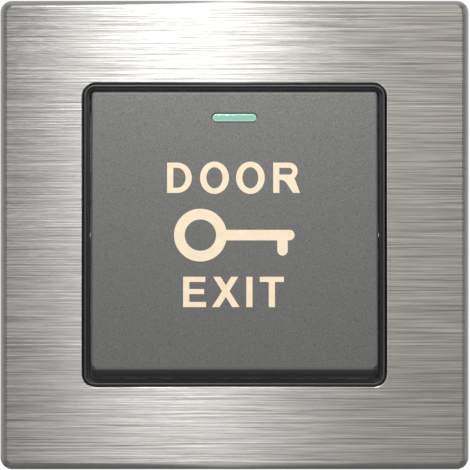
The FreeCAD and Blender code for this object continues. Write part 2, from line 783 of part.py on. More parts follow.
def build_module_chassis():
    """Front moulding: flange, rim, pivot ears, buffer posts, spring spigots and board posts."""
    piece = Piece("module_chassis")
    piece.add_box(("-chassis_half", "chassis_half"), (f"-{CHASSIS_FRONT}", "-bracket_thick"),
                  ("-chassis_half", "chassis_half"))
    piece.bevel(lambda e: lies_along(e, "y"), "chassis_corner")
    piece.add_plate("case_half_x", "case_half_z", "case_corner", ("-bracket_thick", "case_rim"))
    piece.cut_box((f"-{CHAMBER_HALF_X}", CHAMBER_HALF_X), ("-bracket_thick", "case_rim + past"),
                  (f"-{CHAMBER_HALF_Z}", CHAMBER_HALF_Z))
    add_screw_bosses(piece, ("-bracket_thick", "case_rim"))
    root = f"-{CHASSIS_FRONT} + chassis_thick / 2"
    for side in SIDES:
        start = "ear_inner" if side > 0 else "-ear_inner - ear_thick"
        across = (start, f"{start} + ear_thick")
        piece.add_box(across, ("-pivot_stand", root), ("-ear_radius", "ear_radius"))
        piece.add_rod("ear_radius", "ear_thick", (start, "-pivot_stand", "0"), "X")
    for x_side in SIDES:
        x = f"{x_side} * stop_rib_place"
        for z, front in (("stop_place", REST_POST), ("-stop_place", PRESS_POST)):
            piece.add_box((f"{x} - post_half", f"{x} + post_half"), (f"-{front}", root),
                          (f"{z} - post_half", f"{z} + post_half"))
        add_spring_cross(piece, f"{x_side} * spring_place_x", (f"-{CHASSIS_FRONT} - spigot_height", root))
        x = f"{x_side} * board_post_place"
        piece.add_box((f"{x} - board_post_half", f"{x} + board_post_half"), ("-board_stand", root),
                      ("lens_place - board_post_half", "lens_place + board_post_half"))
    piece.cut_box(("-plunger_hole_half_x", "plunger_hole_half_x"), (f"-{CHASSIS_FRONT} - past", "0"),
                  ("-plunger_hole_half_z", "plunger_hole_half_z"))
    for x, z in rivet_places():
        piece.cut_rod("rivet_radius + rivet_clear", "chassis_thick + 2 * past",
                      (x, f"-{CHASSIS_FRONT} - past", z))
    bottom = "(case_screw_tip + case_screw_spare)"
    for x, z in case_screw_places():
        piece.cut_rod("case_screw_radius + case_screw_clear", f"case_rim + {bottom} + past",
                      (x, f"-{bottom}", z))
    for side in SIDES:
        start = "ear_inner - past" if side > 0 else "-ear_inner - ear_thick - past"
        piece.cut_rod("pin_radius + pin_clear", "ear_thick + 2 * past", (start, "-pivot_stand", "0"), "X")
    return piece.body


def add_screw_bosses(piece, y):
    """Square posts in the side walls that take the case screws."""
    for x, z in case_screw_places():
        piece.add_box((f"{x} - case_boss_half", f"{x} + case_boss_half"), y,
                      (f"{z} - case_boss_half", f"{z} + case_boss_half"))


def case_screw_places():
    """Where the two screws join case and chassis."""
    return [(f"{side} * boss_place_x", "boss_place_z") for side in SIDES]


def rivet_places():
    """Where the two rivets hold the chassis on the bracket, in opposite corners."""
    return [(f"{side} * rivet_place_x", f"-{side} * rivet_place_z") for side in SIDES]


def build_rubber_buffers():
    """Four rubber pads on the chassis posts, two for the rest stop and two for the press stop."""
    pads = []
    for x_side in SIDES:
        x = f"{x_side} * stop_rib_place"
        for z, front in (("stop_place", REST_POST), ("-stop_place", PRESS_POST)):
            piece = Piece("rubber_buffer")
            piece.add_box((f"{x} - buffer_half", f"{x} + buffer_half"),
                          (f"-{front} - buffer_height", f"-{front}"),
                          (f"{z} - buffer_half", f"{z} + buffer_half"))
            piece.bevel(lambda e: lies_along(e, "y"), "buffer_half / 4")
            pads.append(piece)
    return group("rubber_buffers", pads)


def build_return_springs():
    """Two springs between the chassis and the paddle's lower half."""
    seat = size("spring_seat_stand")
    length = seat - size("bracket_thick") - size("chassis_thick")
    bases = [FreeCAD.Vector(side * size("spring_place_x"), -seat, -size("spring_place_z")) for side in SIDES]
    wound = (size("spring_radius"), size("spring_wire"), size("spring_pitch"), length)
    return spring("return_springs", wound, bases)


def build_indicator_board():
    """Circuit board on its two posts, close behind the lens."""
    piece = Piece("indicator_board")
    piece.add_box(("-board_length / 2", "board_length / 2"), ("-board_stand - board_thick", "-board_stand"),
                  ("lens_place - board_height / 2", "lens_place + board_height / 2"))
    return piece.body


def build_indicator_led():
    """Small light emitting diode: a base and a round lens."""
    front = "(board_stand + board_thick)"
    piece = Piece("indicator_led")
    piece.add_box(("-led_length / 2", "led_length / 2"), (f"-{front} - led_base", f"-{front}"),
                  ("lens_place - led_height / 2", "lens_place + led_height / 2"))
    tip = f"-{front} - led_base - led_dome_rise"
    piece.add_rod("led_dome", "led_dome_rise + led_base / 2", ("0", tip, "lens_place"))
    return piece.body


def build_led_resistor():
    """Surface resistor beside the diode."""
    front = "(board_stand + board_thick)"
    middle = "(board_length / 2 - resistor_edge)"
    piece = Piece("led_resistor")
    piece.add_box((f"{middle} - resistor_length / 2", f"{middle} + resistor_length / 2"),
                  (f"-{front} - resistor_thick", f"-{front}"),
                  ("lens_place - resistor_height / 2", "lens_place + resistor_height / 2"))
    return piece.body


# Bracket

def build_mounting_bracket():
    """Steel plate with the wall box's two slotted holes, folded catch flanges and a window for the case."""
    piece = Piece("mounting_bracket")
    piece.add_plate(BRACKET_HALF, BRACKET_HALF, "bracket_corner", ("-bracket_thick", "0"))
    for side in SIDES:
        edge = [f"{side} * ({BRACKET_HALF} - flange_thick)", f"{side} * {BRACKET_HALF}"]
        if side < 0:
            edge.reverse()
        piece.add_box(("-flange_half", "flange_half"), ("-flange_stand", "-bracket_thick / 2"), edge)
        for x_side in SIDES:
            middle = f"{x_side} * hook_place"
            wide = "(hook_width / 2 + catch_clear)"
            cut = (f"{side} * {BRACKET_HALF} - past", f"{side} * {BRACKET_HALF} + past")
            piece.cut_box((f"{middle} - {wide}", f"{middle} + {wide}"), ("-catch_far", "-catch_near"), cut)
    through = ("-bracket_thick - past", "past")
    wide = "(case_half_x + bracket_window_clear)"
    tall = "(case_half_z + bracket_window_clear)"
    piece.cut_box((f"-{wide}", wide), through, (f"-{tall}", tall))
    straight = "(box_slot_length / 2 - box_slot_radius)"
    for side in SIDES:
        middle = f"{side} * box_screw_half"
        piece.cut_box((f"{middle} - {straight}", f"{middle} + {straight}"), through,
                      ("-box_slot_radius", "box_slot_radius"))
        for end in SIDES:
            piece.cut_rod("box_slot_radius", "bracket_thick + 2 * past",
                          (f"{middle} + {end} * {straight}", through[0], "0"))
    for x, z in rivet_places():
        piece.cut_rod("rivet_radius + rivet_clear", "bracket_thick + 2 * past", (x, through[0], z))
    return piece.body


def build_bracket_rivets():
    """Two rivets with a head on the flange, set flush behind the bracket."""
    rivets = []
    for x, z in rivet_places():
        piece = Piece("bracket_rivet")
        length = f"({CHASSIS_FRONT} + rivet_head_height)"
        piece.add_rod("rivet_radius", length, (x, f"-{length}", z))
        piece.add_rod("rivet_head", "rivet_head_height", (x, f"-{length}", z))
        rivets.append(piece)
    return group("bracket_rivets", rivets)


# Case

def build_module_case():
    """Rear moulding: contact chamber in front, three open terminal bays with barriers behind."""
    piece = Piece("module_case")
    piece.add_plate("case_half_x", "case_half_z", "case_corner", ("case_rim", "case_back"))
    piece.add_box(("-block_half_x", "block_half_x"), ("case_floor", "block_back"),
                  ("-case_half_z", f"-{BLOCK_TOP}"))
    piece.cut_box((f"-{CHAMBER_HALF_X}", CHAMBER_HALF_X), ("case_rim - past", "case_floor"),
                  (f"-{CHAMBER_HALF_Z}", CHAMBER_HALF_Z))
    add_screw_bosses(piece, ("case_rim", "case_floor + case_wall / 2"))
    for x, z in case_screw_places():
        piece.cut_rod("case_screw_radius + case_screw_clear", "case_back + past", (x, "case_rim - past", z))
    for bay in (-1, 0, 1):
        middle = f"{bay} * bay_pitch"
        piece.cut_box((f"{middle} - bay_half", f"{middle} + bay_half"), ("case_back", "block_back + past"),
                      ("-case_half_z - past", f"-{BAY_TOP}"))
        low, high = riser_span(bay)
        piece.cut_box((f"{low} - riser_clear", f"{high} + riser_clear"),
                      ("case_floor - past", "case_back + past"),
                      (f"-{RISER_LOW} - riser_clear", f"-{RISER_LOW} + strip_thick + riser_clear"))
        bottom = "(case_floor + terminal_bore_skin)"
        piece.cut_rod("terminal_screw_radius + terminal_bore_clear", f"case_back - {bottom} + past",
                      (middle, bottom, f"-{TERMINAL_SCREW_Z}"))
    return piece.body


def build_housing_screws():
    """Two self-tapping screws from the case into the chassis."""
    screws = []
    for x, z in case_screw_places():
        piece = Piece("housing_screw")
        piece.add_rod("case_screw_radius", "case_back + case_screw_tip", (x, "-case_screw_tip", z))
        piece.add_rod("case_screw_head", "case_screw_head_height", (x, "case_back", z))
        piece.cut_box((f"{x} - case_screw_head - past", f"{x} + case_screw_head + past"),
                      ("case_back + case_screw_head_height / 2", "case_back + case_screw_head_height + past"),
                      (f"{z} - case_screw_slot / 2", f"{z} + case_screw_slot / 2"))
        screws.append(piece)
    return group("housing_screws", screws)


# Contacts and terminals

def riser_span(bay):
    """The x range of a terminal's arm and riser."""
    if bay == 0:
        return "com_arm_inner", "(tab_half)"
    return f"({bay} * bay_pitch - strip_half)", f"({bay} * bay_pitch + strip_half)"


def add_arm_and_tab(piece, bay, arm_top):
    """The strip's arm down the chamber floor, its riser through the case and the screw tab in the bay."""
    low, high = riser_span(bay)
    middle = f"{bay} * bay_pitch"
    piece.add_box((low, high), (STRIP_FRONT, "case_floor"), (f"-{RISER_LOW}", arm_top))
    piece.add_box((low, high), (STRIP_FRONT, TAB_BACK), (f"-{RISER_LOW}", f"-{RISER_LOW} + strip_thick"))
    piece.add_box((f"{middle} - tab_half", f"{middle} + tab_half"), ("case_back", TAB_BACK),
                  (f"-{RISER_LOW}", f"-{TAB_TOP}"))
    piece.cut_rod("terminal_screw_radius + terminal_screw_clear", "tab_thick + 2 * past",
                  (middle, "case_back - past", f"-{TERMINAL_SCREW_Z}"))


def build_outer_terminal(name, bay, end):
    """Brass strip of an outer terminal, from its contact over one end of the blade to its bay."""
    piece = Piece(name)
    low, high = riser_span(bay)
    across = ("-strip_over", high) if bay > 0 else (low, "strip_over")
    place = f"{end} * contact_place"
    piece.add_box(across, (STRIP_FRONT, "case_floor"), (f"{place} - strip_half", f"{place} + strip_half"))
    add_arm_and_tab(piece, bay, f"{place} + strip_half")
    return piece.body


def build_terminal_com():
    """Brass strip with the round fulcrum of the blade between two guide ears."""
    ear_start = "(blade_half_x + ear_side_clear)"
    ear_end = f"({ear_start} + ear_side_thick)"
    piece = Piece("terminal_com")
    piece.add_box((f"-{ear_end}", "tab_half"), (STRIP_FRONT, "case_floor"), ("-strip_half", "strip_half"))
    piece.add_box((f"-{ear_start}", ear_start), ("fulcrum_depth", STRIP_FRONT),
                  ("-fulcrum_neck", "fulcrum_neck"))
    piece.add_rod("fulcrum_radius", f"2 * {ear_start}", (f"-{ear_start}", "fulcrum_depth", "0"), "X")
    for low, high in ((f"-{ear_end}", f"-{ear_start}"), (ear_start, ear_end)):
        piece.add_box((low, high), (f"{STRIP_FRONT} - ear_side_rise", STRIP_FRONT),
                      ("-strip_half", "strip_half"))
    add_arm_and_tab(piece, 0, "strip_half")
    return piece.body


def build_fixed_contacts():
    """Two silver contact pads welded on the outer strips."""
    contacts = []
    for end in SIDES:
        place = f"{end} * contact_place"
        piece = Piece("fixed_contact")
        piece.add_box(("-contact_half", "contact_half"),
                      (f"{STRIP_FRONT} - fixed_contact_height", STRIP_FRONT),
                      (f"{place} - contact_half", f"{place} + contact_half"))
        contacts.append(piece)
    return group("fixed_contacts", contacts)


def build_contact_blade():
    """Rocking bridge with a groove over the fulcrum, tilted to its rest."""
    piece = Piece("contact_blade")
    piece.add_box(("-blade_half_x", "blade_half_x"), ("-blade_front", "-blade_back"),
                  ("-blade_half_z", "blade_half_z"))
    piece.cut_rod("fulcrum_radius + fulcrum_clear", "2 * blade_half_x + 2 * past",
                  ("-blade_half_x - past", "0", "0"), "X")
    piece.place(("0", "fulcrum_depth", "0"), "blade_tilt")
    return piece.body


def build_moving_contacts():
    """Two silver contact pads welded on the blade's ends."""
    contacts = []
    for end in SIDES:
        place = f"{end} * contact_place"
        piece = Piece("moving_contact")
        piece.add_box(("-contact_half", "contact_half"), ("-blade_back", "-blade_back + contact_height"),
                      (f"{place} - contact_half", f"{place} + contact_half"))
        piece.place(("0", "fulcrum_depth", "0"), "blade_tilt")
        contacts.append(piece)
    return group("moving_contacts", contacts)


def build_terminal_clamps():
    """Three square clamp plates with turned lips under the screw heads."""
    clamps = []
    for bay in (-1, 0, 1):
        middle = f"{bay} * bay_pitch"
        piece = Piece("terminal_clamp")
        piece.add_box((f"{middle} - clamp_half", f"{middle} + clamp_half"), (TAB_BACK, CLAMP_BACK),
                      (f"-{TERMINAL_SCREW_Z} - clamp_half", f"-{TERMINAL_SCREW_Z} + tab_half / 2"))
        for side in SIDES:
            edge = [f"{middle} + {side} * clamp_half", f"{middle} + {side} * (clamp_half - clamp_lip)"]
            if side > 0:
                edge.reverse()
            piece.add_box(edge, (f"{CLAMP_BACK} - clamp_thick / 2", f"{CLAMP_BACK} + clamp_lip"),
                          (f"-{TERMINAL_SCREW_Z} - clamp_half", f"-{TERMINAL_SCREW_Z} + tab_half / 2"))
        piece.cut_rod("terminal_screw_radius + terminal_screw_clear", "clamp_thick + 2 * past",
                      (middle, f"{TAB_BACK} - past", f"-{TERMINAL_SCREW_Z}"))
        clamps.append(piece)
    return group("terminal_clamps", clamps)


def build_terminal_screws():
    """Three slotted screws through clamp and tab."""
    screws = []
    for bay in (-1, 0, 1):
        middle = f"{bay} * bay_pitch"
        piece = Piece("terminal_screw")
        z = f"-{TERMINAL_SCREW_Z}"
        piece.add_rod("terminal_screw_head", "terminal_screw_head_height", (middle, CLAMP_BACK, z))
        piece.add_rod("terminal_screw_radius", "terminal_screw_length + terminal_screw_head_height / 4",
                      (middle, f"{CLAMP_BACK} - terminal_screw_length", z))
        top = f"{CLAMP_BACK} + terminal_screw_head_height"
        piece.cut_box((f"{middle} - clamp_half", f"{middle} + clamp_half"),
                      (f"{top} - terminal_slot_depth", f"{top} + past"),
                      (f"{z} - terminal_slot_width / 2", f"{z} + terminal_slot_width / 2"))
        screws.append(piece)
    return group("terminal_screws", screws)


def check(nodes):
    """Stop at any object that failed, or a piece that is empty or broken."""
    for thing in doc.Objects:
        if {"Invalid", "Error"} & set(thing.State):
            raise RuntimeError(f"{thing.Name} failed: {thing.State}")
    for node in nodes:
        if node.Shape.isNull() or not node.Shape.isValid():
            raise RuntimeError(node.Label + " has no valid shape")


def main():
    """Build every piece, check it and write it to its file."""
    nodes = [
        build_face_plate(), build_face_carrier(), build_rocker_paddle(), build_indicator_lens(),
        build_rocker_cradle(), build_pivot_pins(), build_plunger(), build_plunger_spring(),
        build_module_chassis(), build_rubber_buffers(), build_return_springs(), build_indicator_board(),
        build_indicator_led(), build_led_resistor(), build_mounting_bracket(), build_bracket_rivets(),
        build_module_case(), build_housing_screws(), build_outer_terminal("terminal_no", 1, 1),
        build_outer_terminal("terminal_nc", -1, -1), build_terminal_com(), build_fixed_contacts(),
        build_contact_blade(), build_moving_contacts(), build_terminal_clamps(), build_terminal_screws(),
    ]
    doc.recompute()
    check(nodes)
    os.makedirs("parts", exist_ok=True)
    for node in nodes:
        node.Shape.exportStep(f"parts/{node.Label}.step")
        print(f"{node.Label}: {len(node.Shape.Solids)} solids, {node.Shape.Volume:.1f} mm3")


main()
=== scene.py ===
"""Door exit push button on an 86 mm wall plate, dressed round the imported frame.

Sizes in the classes are millimetres, and the meshes are metres. +Z is up, the face looks along -Y and the
wall is the plane y = 0, as in the frame. A stand is a height above the wall, which lies at minus y.
"""
from __future__ import annotations

import json
import logging
import math
from dataclasses import dataclass, field
from enum import Enum

import bmesh
import bpy
from mathutils import Matrix, Vector

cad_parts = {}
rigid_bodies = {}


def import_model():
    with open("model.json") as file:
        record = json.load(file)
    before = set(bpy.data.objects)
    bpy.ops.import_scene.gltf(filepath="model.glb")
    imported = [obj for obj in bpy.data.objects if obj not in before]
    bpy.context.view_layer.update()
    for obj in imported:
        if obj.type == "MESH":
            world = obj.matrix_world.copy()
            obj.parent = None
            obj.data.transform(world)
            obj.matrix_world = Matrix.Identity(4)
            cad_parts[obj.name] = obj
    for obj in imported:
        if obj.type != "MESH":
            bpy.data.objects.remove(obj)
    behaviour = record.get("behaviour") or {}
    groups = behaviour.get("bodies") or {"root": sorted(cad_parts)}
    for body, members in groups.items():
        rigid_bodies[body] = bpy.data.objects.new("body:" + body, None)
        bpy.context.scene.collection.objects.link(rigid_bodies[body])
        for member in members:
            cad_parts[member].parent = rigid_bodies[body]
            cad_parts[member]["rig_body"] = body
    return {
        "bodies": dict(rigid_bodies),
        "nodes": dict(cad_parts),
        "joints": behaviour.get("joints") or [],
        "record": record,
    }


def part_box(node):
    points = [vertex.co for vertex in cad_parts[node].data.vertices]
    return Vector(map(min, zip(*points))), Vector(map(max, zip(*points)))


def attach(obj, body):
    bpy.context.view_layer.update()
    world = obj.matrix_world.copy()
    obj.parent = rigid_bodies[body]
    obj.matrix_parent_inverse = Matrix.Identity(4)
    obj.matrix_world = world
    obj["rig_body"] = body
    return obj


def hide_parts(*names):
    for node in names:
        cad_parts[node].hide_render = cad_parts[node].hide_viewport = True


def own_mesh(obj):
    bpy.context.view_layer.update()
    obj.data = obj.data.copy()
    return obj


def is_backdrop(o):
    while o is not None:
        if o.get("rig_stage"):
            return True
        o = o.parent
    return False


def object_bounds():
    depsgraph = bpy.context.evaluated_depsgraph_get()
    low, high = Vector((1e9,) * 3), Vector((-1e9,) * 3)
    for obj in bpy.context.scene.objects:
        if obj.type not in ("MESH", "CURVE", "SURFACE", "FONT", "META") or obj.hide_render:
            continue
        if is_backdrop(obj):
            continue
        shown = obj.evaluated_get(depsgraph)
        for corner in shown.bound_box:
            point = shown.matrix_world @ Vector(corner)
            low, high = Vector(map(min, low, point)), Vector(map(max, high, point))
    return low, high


MM = 0.001
SIDES = (-1, 1)
QUARTER = math.pi / 2
ARC_STEPS = 12
DISC_POINTS = 48
ROUND_STEPS = 2
ROUND_ABOVE = 40.0
SHARP_ABOVE = 32.0
SAME_POINT = 0.001
SAME_CORNER = 0.002
SAME_PLANE = 0.5
LOG = logging.getLogger("exit_button")

Colour = tuple[float, float, float]
Outline = list[tuple[float, float]]


class Body(Enum):
    """The bodies of the frame that a piece can ride on."""

    BASE = "base"
    ROCKER = "rocker"


class Ends(Enum):
    """How a run of outlines is closed into a shell."""

    JOINED = "the last outline joins the first"
    CAPPED = "the first and the last outline are filled"


# Meshes


def into_object(name: str, shape: bmesh.types.BMesh) -> bpy.types.Object:
    """Turn a bmesh into an object of the scene, with its place in its mesh.

    Args:
        name: The piece's name.
        shape: The mesh, which is freed.

    Returns:
        The new object at the origin.
    """
    mesh = bpy.data.meshes.new(name)
    shape.to_mesh(mesh)
    shape.free()
    stale = mesh.attributes.get("custom_normal")
    if stale:
        mesh.attributes.remove(stale)
    piece = bpy.data.objects.new(name, mesh)
    bpy.context.scene.collection.objects.link(piece)
    return piece


def bake(piece: bpy.types.Object) -> None:
    """Replace a piece's mesh by what its modifiers make of it.

    Args:
        piece: The object, which loses its modifiers.
    """
    graph = bpy.context.evaluated_depsgraph_get()
    mesh = bpy.data.meshes.new_from_object(piece.evaluated_get(graph))
    piece.modifiers.clear()
    piece.data = mesh


def settle(piece: bpy.types.Object) -> bpy.types.Object:
    """Turn live modifiers into mesh, and shade it smooth between its sharp edges with large faces kept flat.

    Args:
        piece: The object to finish.

    Returns:
        The same object.
    """
    bake(piece)
    piece.data.shade_smooth()
    piece.data.set_sharp_from_angle(angle=math.radians(SHARP_ABOVE))
    piece.modifiers.new("flat_faces", "WEIGHTED_NORMAL").keep_sharp = True
    bake(piece)
    return piece


def soften(piece: bpy.types.Object, width: float) -> bpy.types.Object:
    """Round the crisp edges of a piece, as a mould or a tumbling drum leaves them.

    Args:
        piece: The object.
        width: The width of the rounding in millimetres.

    Returns:
        The same object with the rounding in its mesh.
    """
    bevel = piece.modifiers.new("soft_edges", "BEVEL")
    bevel.width = width * MM
    bevel.segments = ROUND_STEPS
    bevel.limit_method = "ANGLE"
    bevel.angle_limit = math.radians(ROUND_ABOVE)
    bevel.use_clamp_overlap = True
    bevel.miter_outer = "MITER_ARC"
    return settle(piece)


def merged_copy(node: bpy.types.Object, name: str) -> bpy.types.Object:
    """A copy of a frame node as one closed mesh with its flat faces whole.

    Args:
        node: The frame's own object, which is left alone.
        name: The copy's name.

    Returns:
        The new object.
    """
    shape = bmesh.new()
    shape.from_mesh(node.data)
    bmesh.ops.remove_doubles(shape, verts=shape.verts, dist=SAME_CORNER * MM)
    bmesh.ops.dissolve_limit(shape, angle_limit=math.radians(SAME_PLANE), verts=shape.verts,
                             edges=shape.edges)
    return into_object(name, shape)


def join(name: str, parts: list[bpy.types.Object]) -> bpy.types.Object:
    """Put several finished meshes in one object, each a closed shell of its own.

    Args:
        name: The name of the whole.
        parts: The objects, which are used up.

    Returns:
        The new object.
    """
    whole = bmesh.new()
    for part in parts:
        whole.from_mesh(part.data)
        bpy.data.objects.remove(part)
    return settle(into_object(name, whole))


@dataclass(frozen=True)
class Ring:
    """One outline of a shell: a rectangle with round corners, parallel to the wall."""

    half_x: float
    half_z: float
    radius: float
    y: float

    def points(self) -> list[Vector]:
        """Go round the four corners.

        Returns:
            The points of the corner arcs in order, as many for every ring, in metres.
        """
        points = []
        for corner in range(4):
            start = QUARTER * corner
            right = math.copysign(1, math.cos(start + QUARTER / 2))
            top = math.copysign(1, math.sin(start + QUARTER / 2))
            for step in range(ARC_STEPS + 1):
                angle = start + QUARTER * step / ARC_STEPS
                x = right * (self.half_x - self.radius) + self.radius * math.cos(angle)
                z = top * (self.half_z - self.radius) + self.radius * math.sin(angle)
                points.append(Vector((x, self.y, z)) * MM)
        return points


def square(half: float, radius: float, y: float) -> Ring:
    """A ring as wide as it is high."""
    return Ring(half, half, radius, y)


def loft(name: str, rings: list[Ring], ends: Ends) -> bpy.types.Object:
    """Skin a run of rings into a closed shell.

    Args:
        name: The piece's name.
        rings: The outlines in order along the shell's section.
        ends: How the shell is closed.

    Returns:
        The new object.
    """
    shape = bmesh.new()
    loops = [[shape.verts.new(point) for point in ring.points()] for ring in rings]
    pairs = list(zip(loops, loops[1:]))
    if ends is Ends.JOINED:
        pairs.append((loops[-1], loops[0]))
    else:
        shape.faces.new(loops[0])
        shape.faces.new(loops[-1])
    for one, two in pairs:
        for i in range(len(one)):
            after = (i + 1) % len(one)
            shape.faces.new((one[i], one[after], two[after], two[i]))
    bmesh.ops.recalc_face_normals(shape, faces=shape.faces)
    return into_object(name, shape)


def round_over(half: float, radius: float, y: float, bend: float, turn: float, steps: int) -> list[Ring]:
    """Rings over a rounded front edge, from the flat front outwards to the side, or the other way.

    Args:
        half: Half the outline's width at the side.
        radius: The outline's corner radius at the side.
        y: The plane of the flat front.
        bend: The radius of the rounding.
        turn: 1 where the side lies outside the front, -1 where it lies inside.
        steps: The facets round the bend.

    Returns:
        The rings from the front to the side.
    """
    rings = []
    for step in range(steps + 1):
        angle = QUARTER * step / steps
        inset = bend * (1 - math.sin(angle)) * turn
        rings.append(square(half - inset, radius - inset, y + bend * (1 - math.cos(angle))))
    return rings


def block(low: tuple[float, float, float], high: tuple[float, float, float], name: str) -> bpy.types.Object:
    """A closed block between two corners, to be softened and joined to a moulding.

    Args:
        low: The corner with the smallest values.
        high: The opposite corner.
        name: The block's name.

    Returns:
        The new object.
    """
    shape = bmesh.new()
    bmesh.ops.create_cube(shape, size=1)
    size = [b - a for a, b in zip(low, high)]
    middle = [(a + b) / 2 for a, b in zip(low, high)]
    shape.transform(Matrix.Translation(Vector(middle) * MM) @ Matrix.Diagonal(Vector(size) * MM).to_4x4())
    return into_object(name, shape)


# Nodes


def lay(tree: bpy.types.NodeTree, kind: str, inputs: dict | None = None, **options: object) -> bpy.types.Node:
    """Add a node to a tree, with its options and its inputs.

    Args:
        tree: A shader or geometry tree.
        kind: The node's type.
        inputs: Values or sockets, by the input's name or number.
        options: The node's own settings.

    Returns:
        The new node.
    """
    node = tree.nodes.new(kind)
    for title, value in options.items():
        setattr(node, title, value)
    for key, value in (inputs or {}).items():
        if isinstance(value, bpy.types.NodeSocket):
            tree.links.new(value, node.inputs[key])
        else:
            node.inputs[key].default_value = value
    return node


class Former:
    """A Geometry Nodes tree with named inputs, and the mesh that it makes."""

    def __init__(self, name: str, sizes: dict[str, float | int | Vector]) -> None:
        """Start the tree with one input for each size.

        Args:
            name: The name of the tree and of its piece.
            sizes: The inputs' values by name, in the units of the mesh.
        """
        self.name = name
        self.sizes = sizes
        self.tree = bpy.data.node_groups.new(name, "GeometryNodeTree")
        kinds = {float: "NodeSocketFloat", int: "NodeSocketInt", Vector: "NodeSocketVector"}
        self.sockets = {}
        for title, value in sizes.items():
            made = self.tree.interface.new_socket(title, in_out="INPUT", socket_type=kinds[type(value)])
            self.sockets[title] = made.identifier
        self.tree.interface.new_socket("Geometry", in_out="OUTPUT", socket_type="NodeSocketGeometry")
        self.given = self.tree.nodes.new("NodeGroupInput")

    def size(self, title: str) -> bpy.types.NodeSocket:
        """The socket of a named size."""
        return self.given.outputs[title]

    def put(self, kind: str, inputs: dict | None = None, **options: object) -> bpy.types.Node:
        """Add a geometry node."""
        return lay(self.tree, "GeometryNode" + kind, inputs, **options)

    def sum(self, operation: str, one: object, two: object) -> bpy.types.NodeSocket:
        """The result of a sum on two values or sockets."""
        return lay(self.tree, "ShaderNodeMath", {0: one, 1: two}, operation=operation).outputs[0]

    def way(self, **parts: object) -> bpy.types.NodeSocket:
        """A vector from its X, Y and Z, of which the ones left out are 0."""
        return lay(self.tree, "ShaderNodeCombineXYZ", parts).outputs[0]

    def disc(self, radius: object, stand: object) -> tuple[bpy.types.NodeSocket, None]:
        """A filled circle that a turned shape starts from.

        Args:
            radius: Its radius.
            stand: Its height on the axis.

        Returns:
            The circle, and that no part of it is marked as the top.
        """
        circle = self.put("MeshCircle", {"Vertices": DISC_POINTS, "Radius": radius}, fill_type="NGON")
        placed = self.put("Transform", {"Geometry": circle.outputs[0], "Translation": self.way(Z=stand)})
        return placed.outputs[0], None

    def grow(self, shape: tuple, rise: object, spread: object) -> tuple:
        """Draw the top of a turned shape upwards and scale it about its axis.

        Args:
            shape: The mesh so far, and the mark of its top.
            rise: How far the top goes up.
            spread: What the top's radius is multiplied by.

        Returns:
            The new mesh, and the mark of its top.
        """
        mesh, top = shape
        inputs = {"Mesh": mesh, "Offset Scale": rise, "Individual": False}
        if top:
            inputs["Selection"] = top
        drawn = self.put("ExtrudeMesh", inputs, mode="FACES")
        scaled = self.put("ScaleElements", {"Geometry": drawn.outputs["Mesh"], "Scale": spread,
                                            "Selection": drawn.outputs["Top"]}, domain="FACE")
        return scaled.outputs[0], drawn.outputs["Top"]

    def close(self, shape: tuple, start: bpy.types.NodeSocket) -> bpy.types.NodeSocket:
        """Shut the bottom of a turned shape with the disc that it started from.

        Args:
            shape: The mesh, and the mark of its top.
            start: The disc.

        Returns:
            The closed mesh.
        """
        back = self.put("FlipFaces", {"Mesh": start})
        both = self.put("JoinGeometry")
        self.tree.links.new(shape[0], both.inputs[0])
        self.tree.links.new(back.outputs[0], both.inputs[0])
        whole = self.put("MergeByDistance", {"Geometry": both.outputs[0], "Distance": SAME_POINT * MM})
        return whole.outputs[0]

    def row(self, shape: bpy.types.NodeSocket) -> bpy.types.NodeSocket:
        """Turn a shape to its seat and set copies of it in a row, by the usual inputs of a row.

        Args:
            shape: The mesh, upright at the origin.

        Returns:
            The row of copies.
        """
        turned = self.put("Transform", {"Geometry": shape, "Rotation": self.size("Turn")})
        line = self.put("MeshLine", {"Count": self.size("Count"), "Start Location": self.size("Start"),
                                     "Offset": self.size("Step")})
        copies = self.put("InstanceOnPoints", {"Points": line.outputs[0], "Instance": turned.outputs[0]})
        return copies.outputs[0]

    def make(self, shape: bpy.types.NodeSocket, material: bpy.types.Material) -> bpy.types.Object:
        """End the tree, run it once and keep its mesh.

        Args:
            shape: The geometry that the tree has made.
            material: What the piece is dressed in.

        Returns:
            An object with a plain mesh and no modifier.
        """
        whole = self.put("RealizeInstances", {"Geometry": shape})
        dressed = self.put("SetMaterial", {"Geometry": whole.outputs[0], "Material": material})
        lay(self.tree, "NodeGroupOutput", {0: dressed.outputs[0]})
        piece = into_object(self.name, bmesh.new())
        modifier = piece.modifiers.new("form", "NODES")
        modifier.node_group = self.tree
        for title, value in self.sizes.items():
            modifier[self.sockets[title]] = list(value) if isinstance(value, Vector) else value
        return settle(piece)


def row_of(start: tuple[float, float, float], step: tuple[float, float, float], count: int,
           turn: float) -> dict[str, int | Vector]:
    """The usual inputs of a row of like pieces.

    Args:
        start: The first seat, in millimetres.
        step: The way from one seat to the next.
        count: How many there are.
        turn: The turn about X from +Z to the piece's own direction, in degrees.

    Returns:
        The inputs by name.
    """
    return {"Count": count, "Start": Vector(start) * MM, "Step": Vector(step) * MM,
            "Turn": Vector((math.radians(turn), 0, 0))}


# Effects that several finishes share


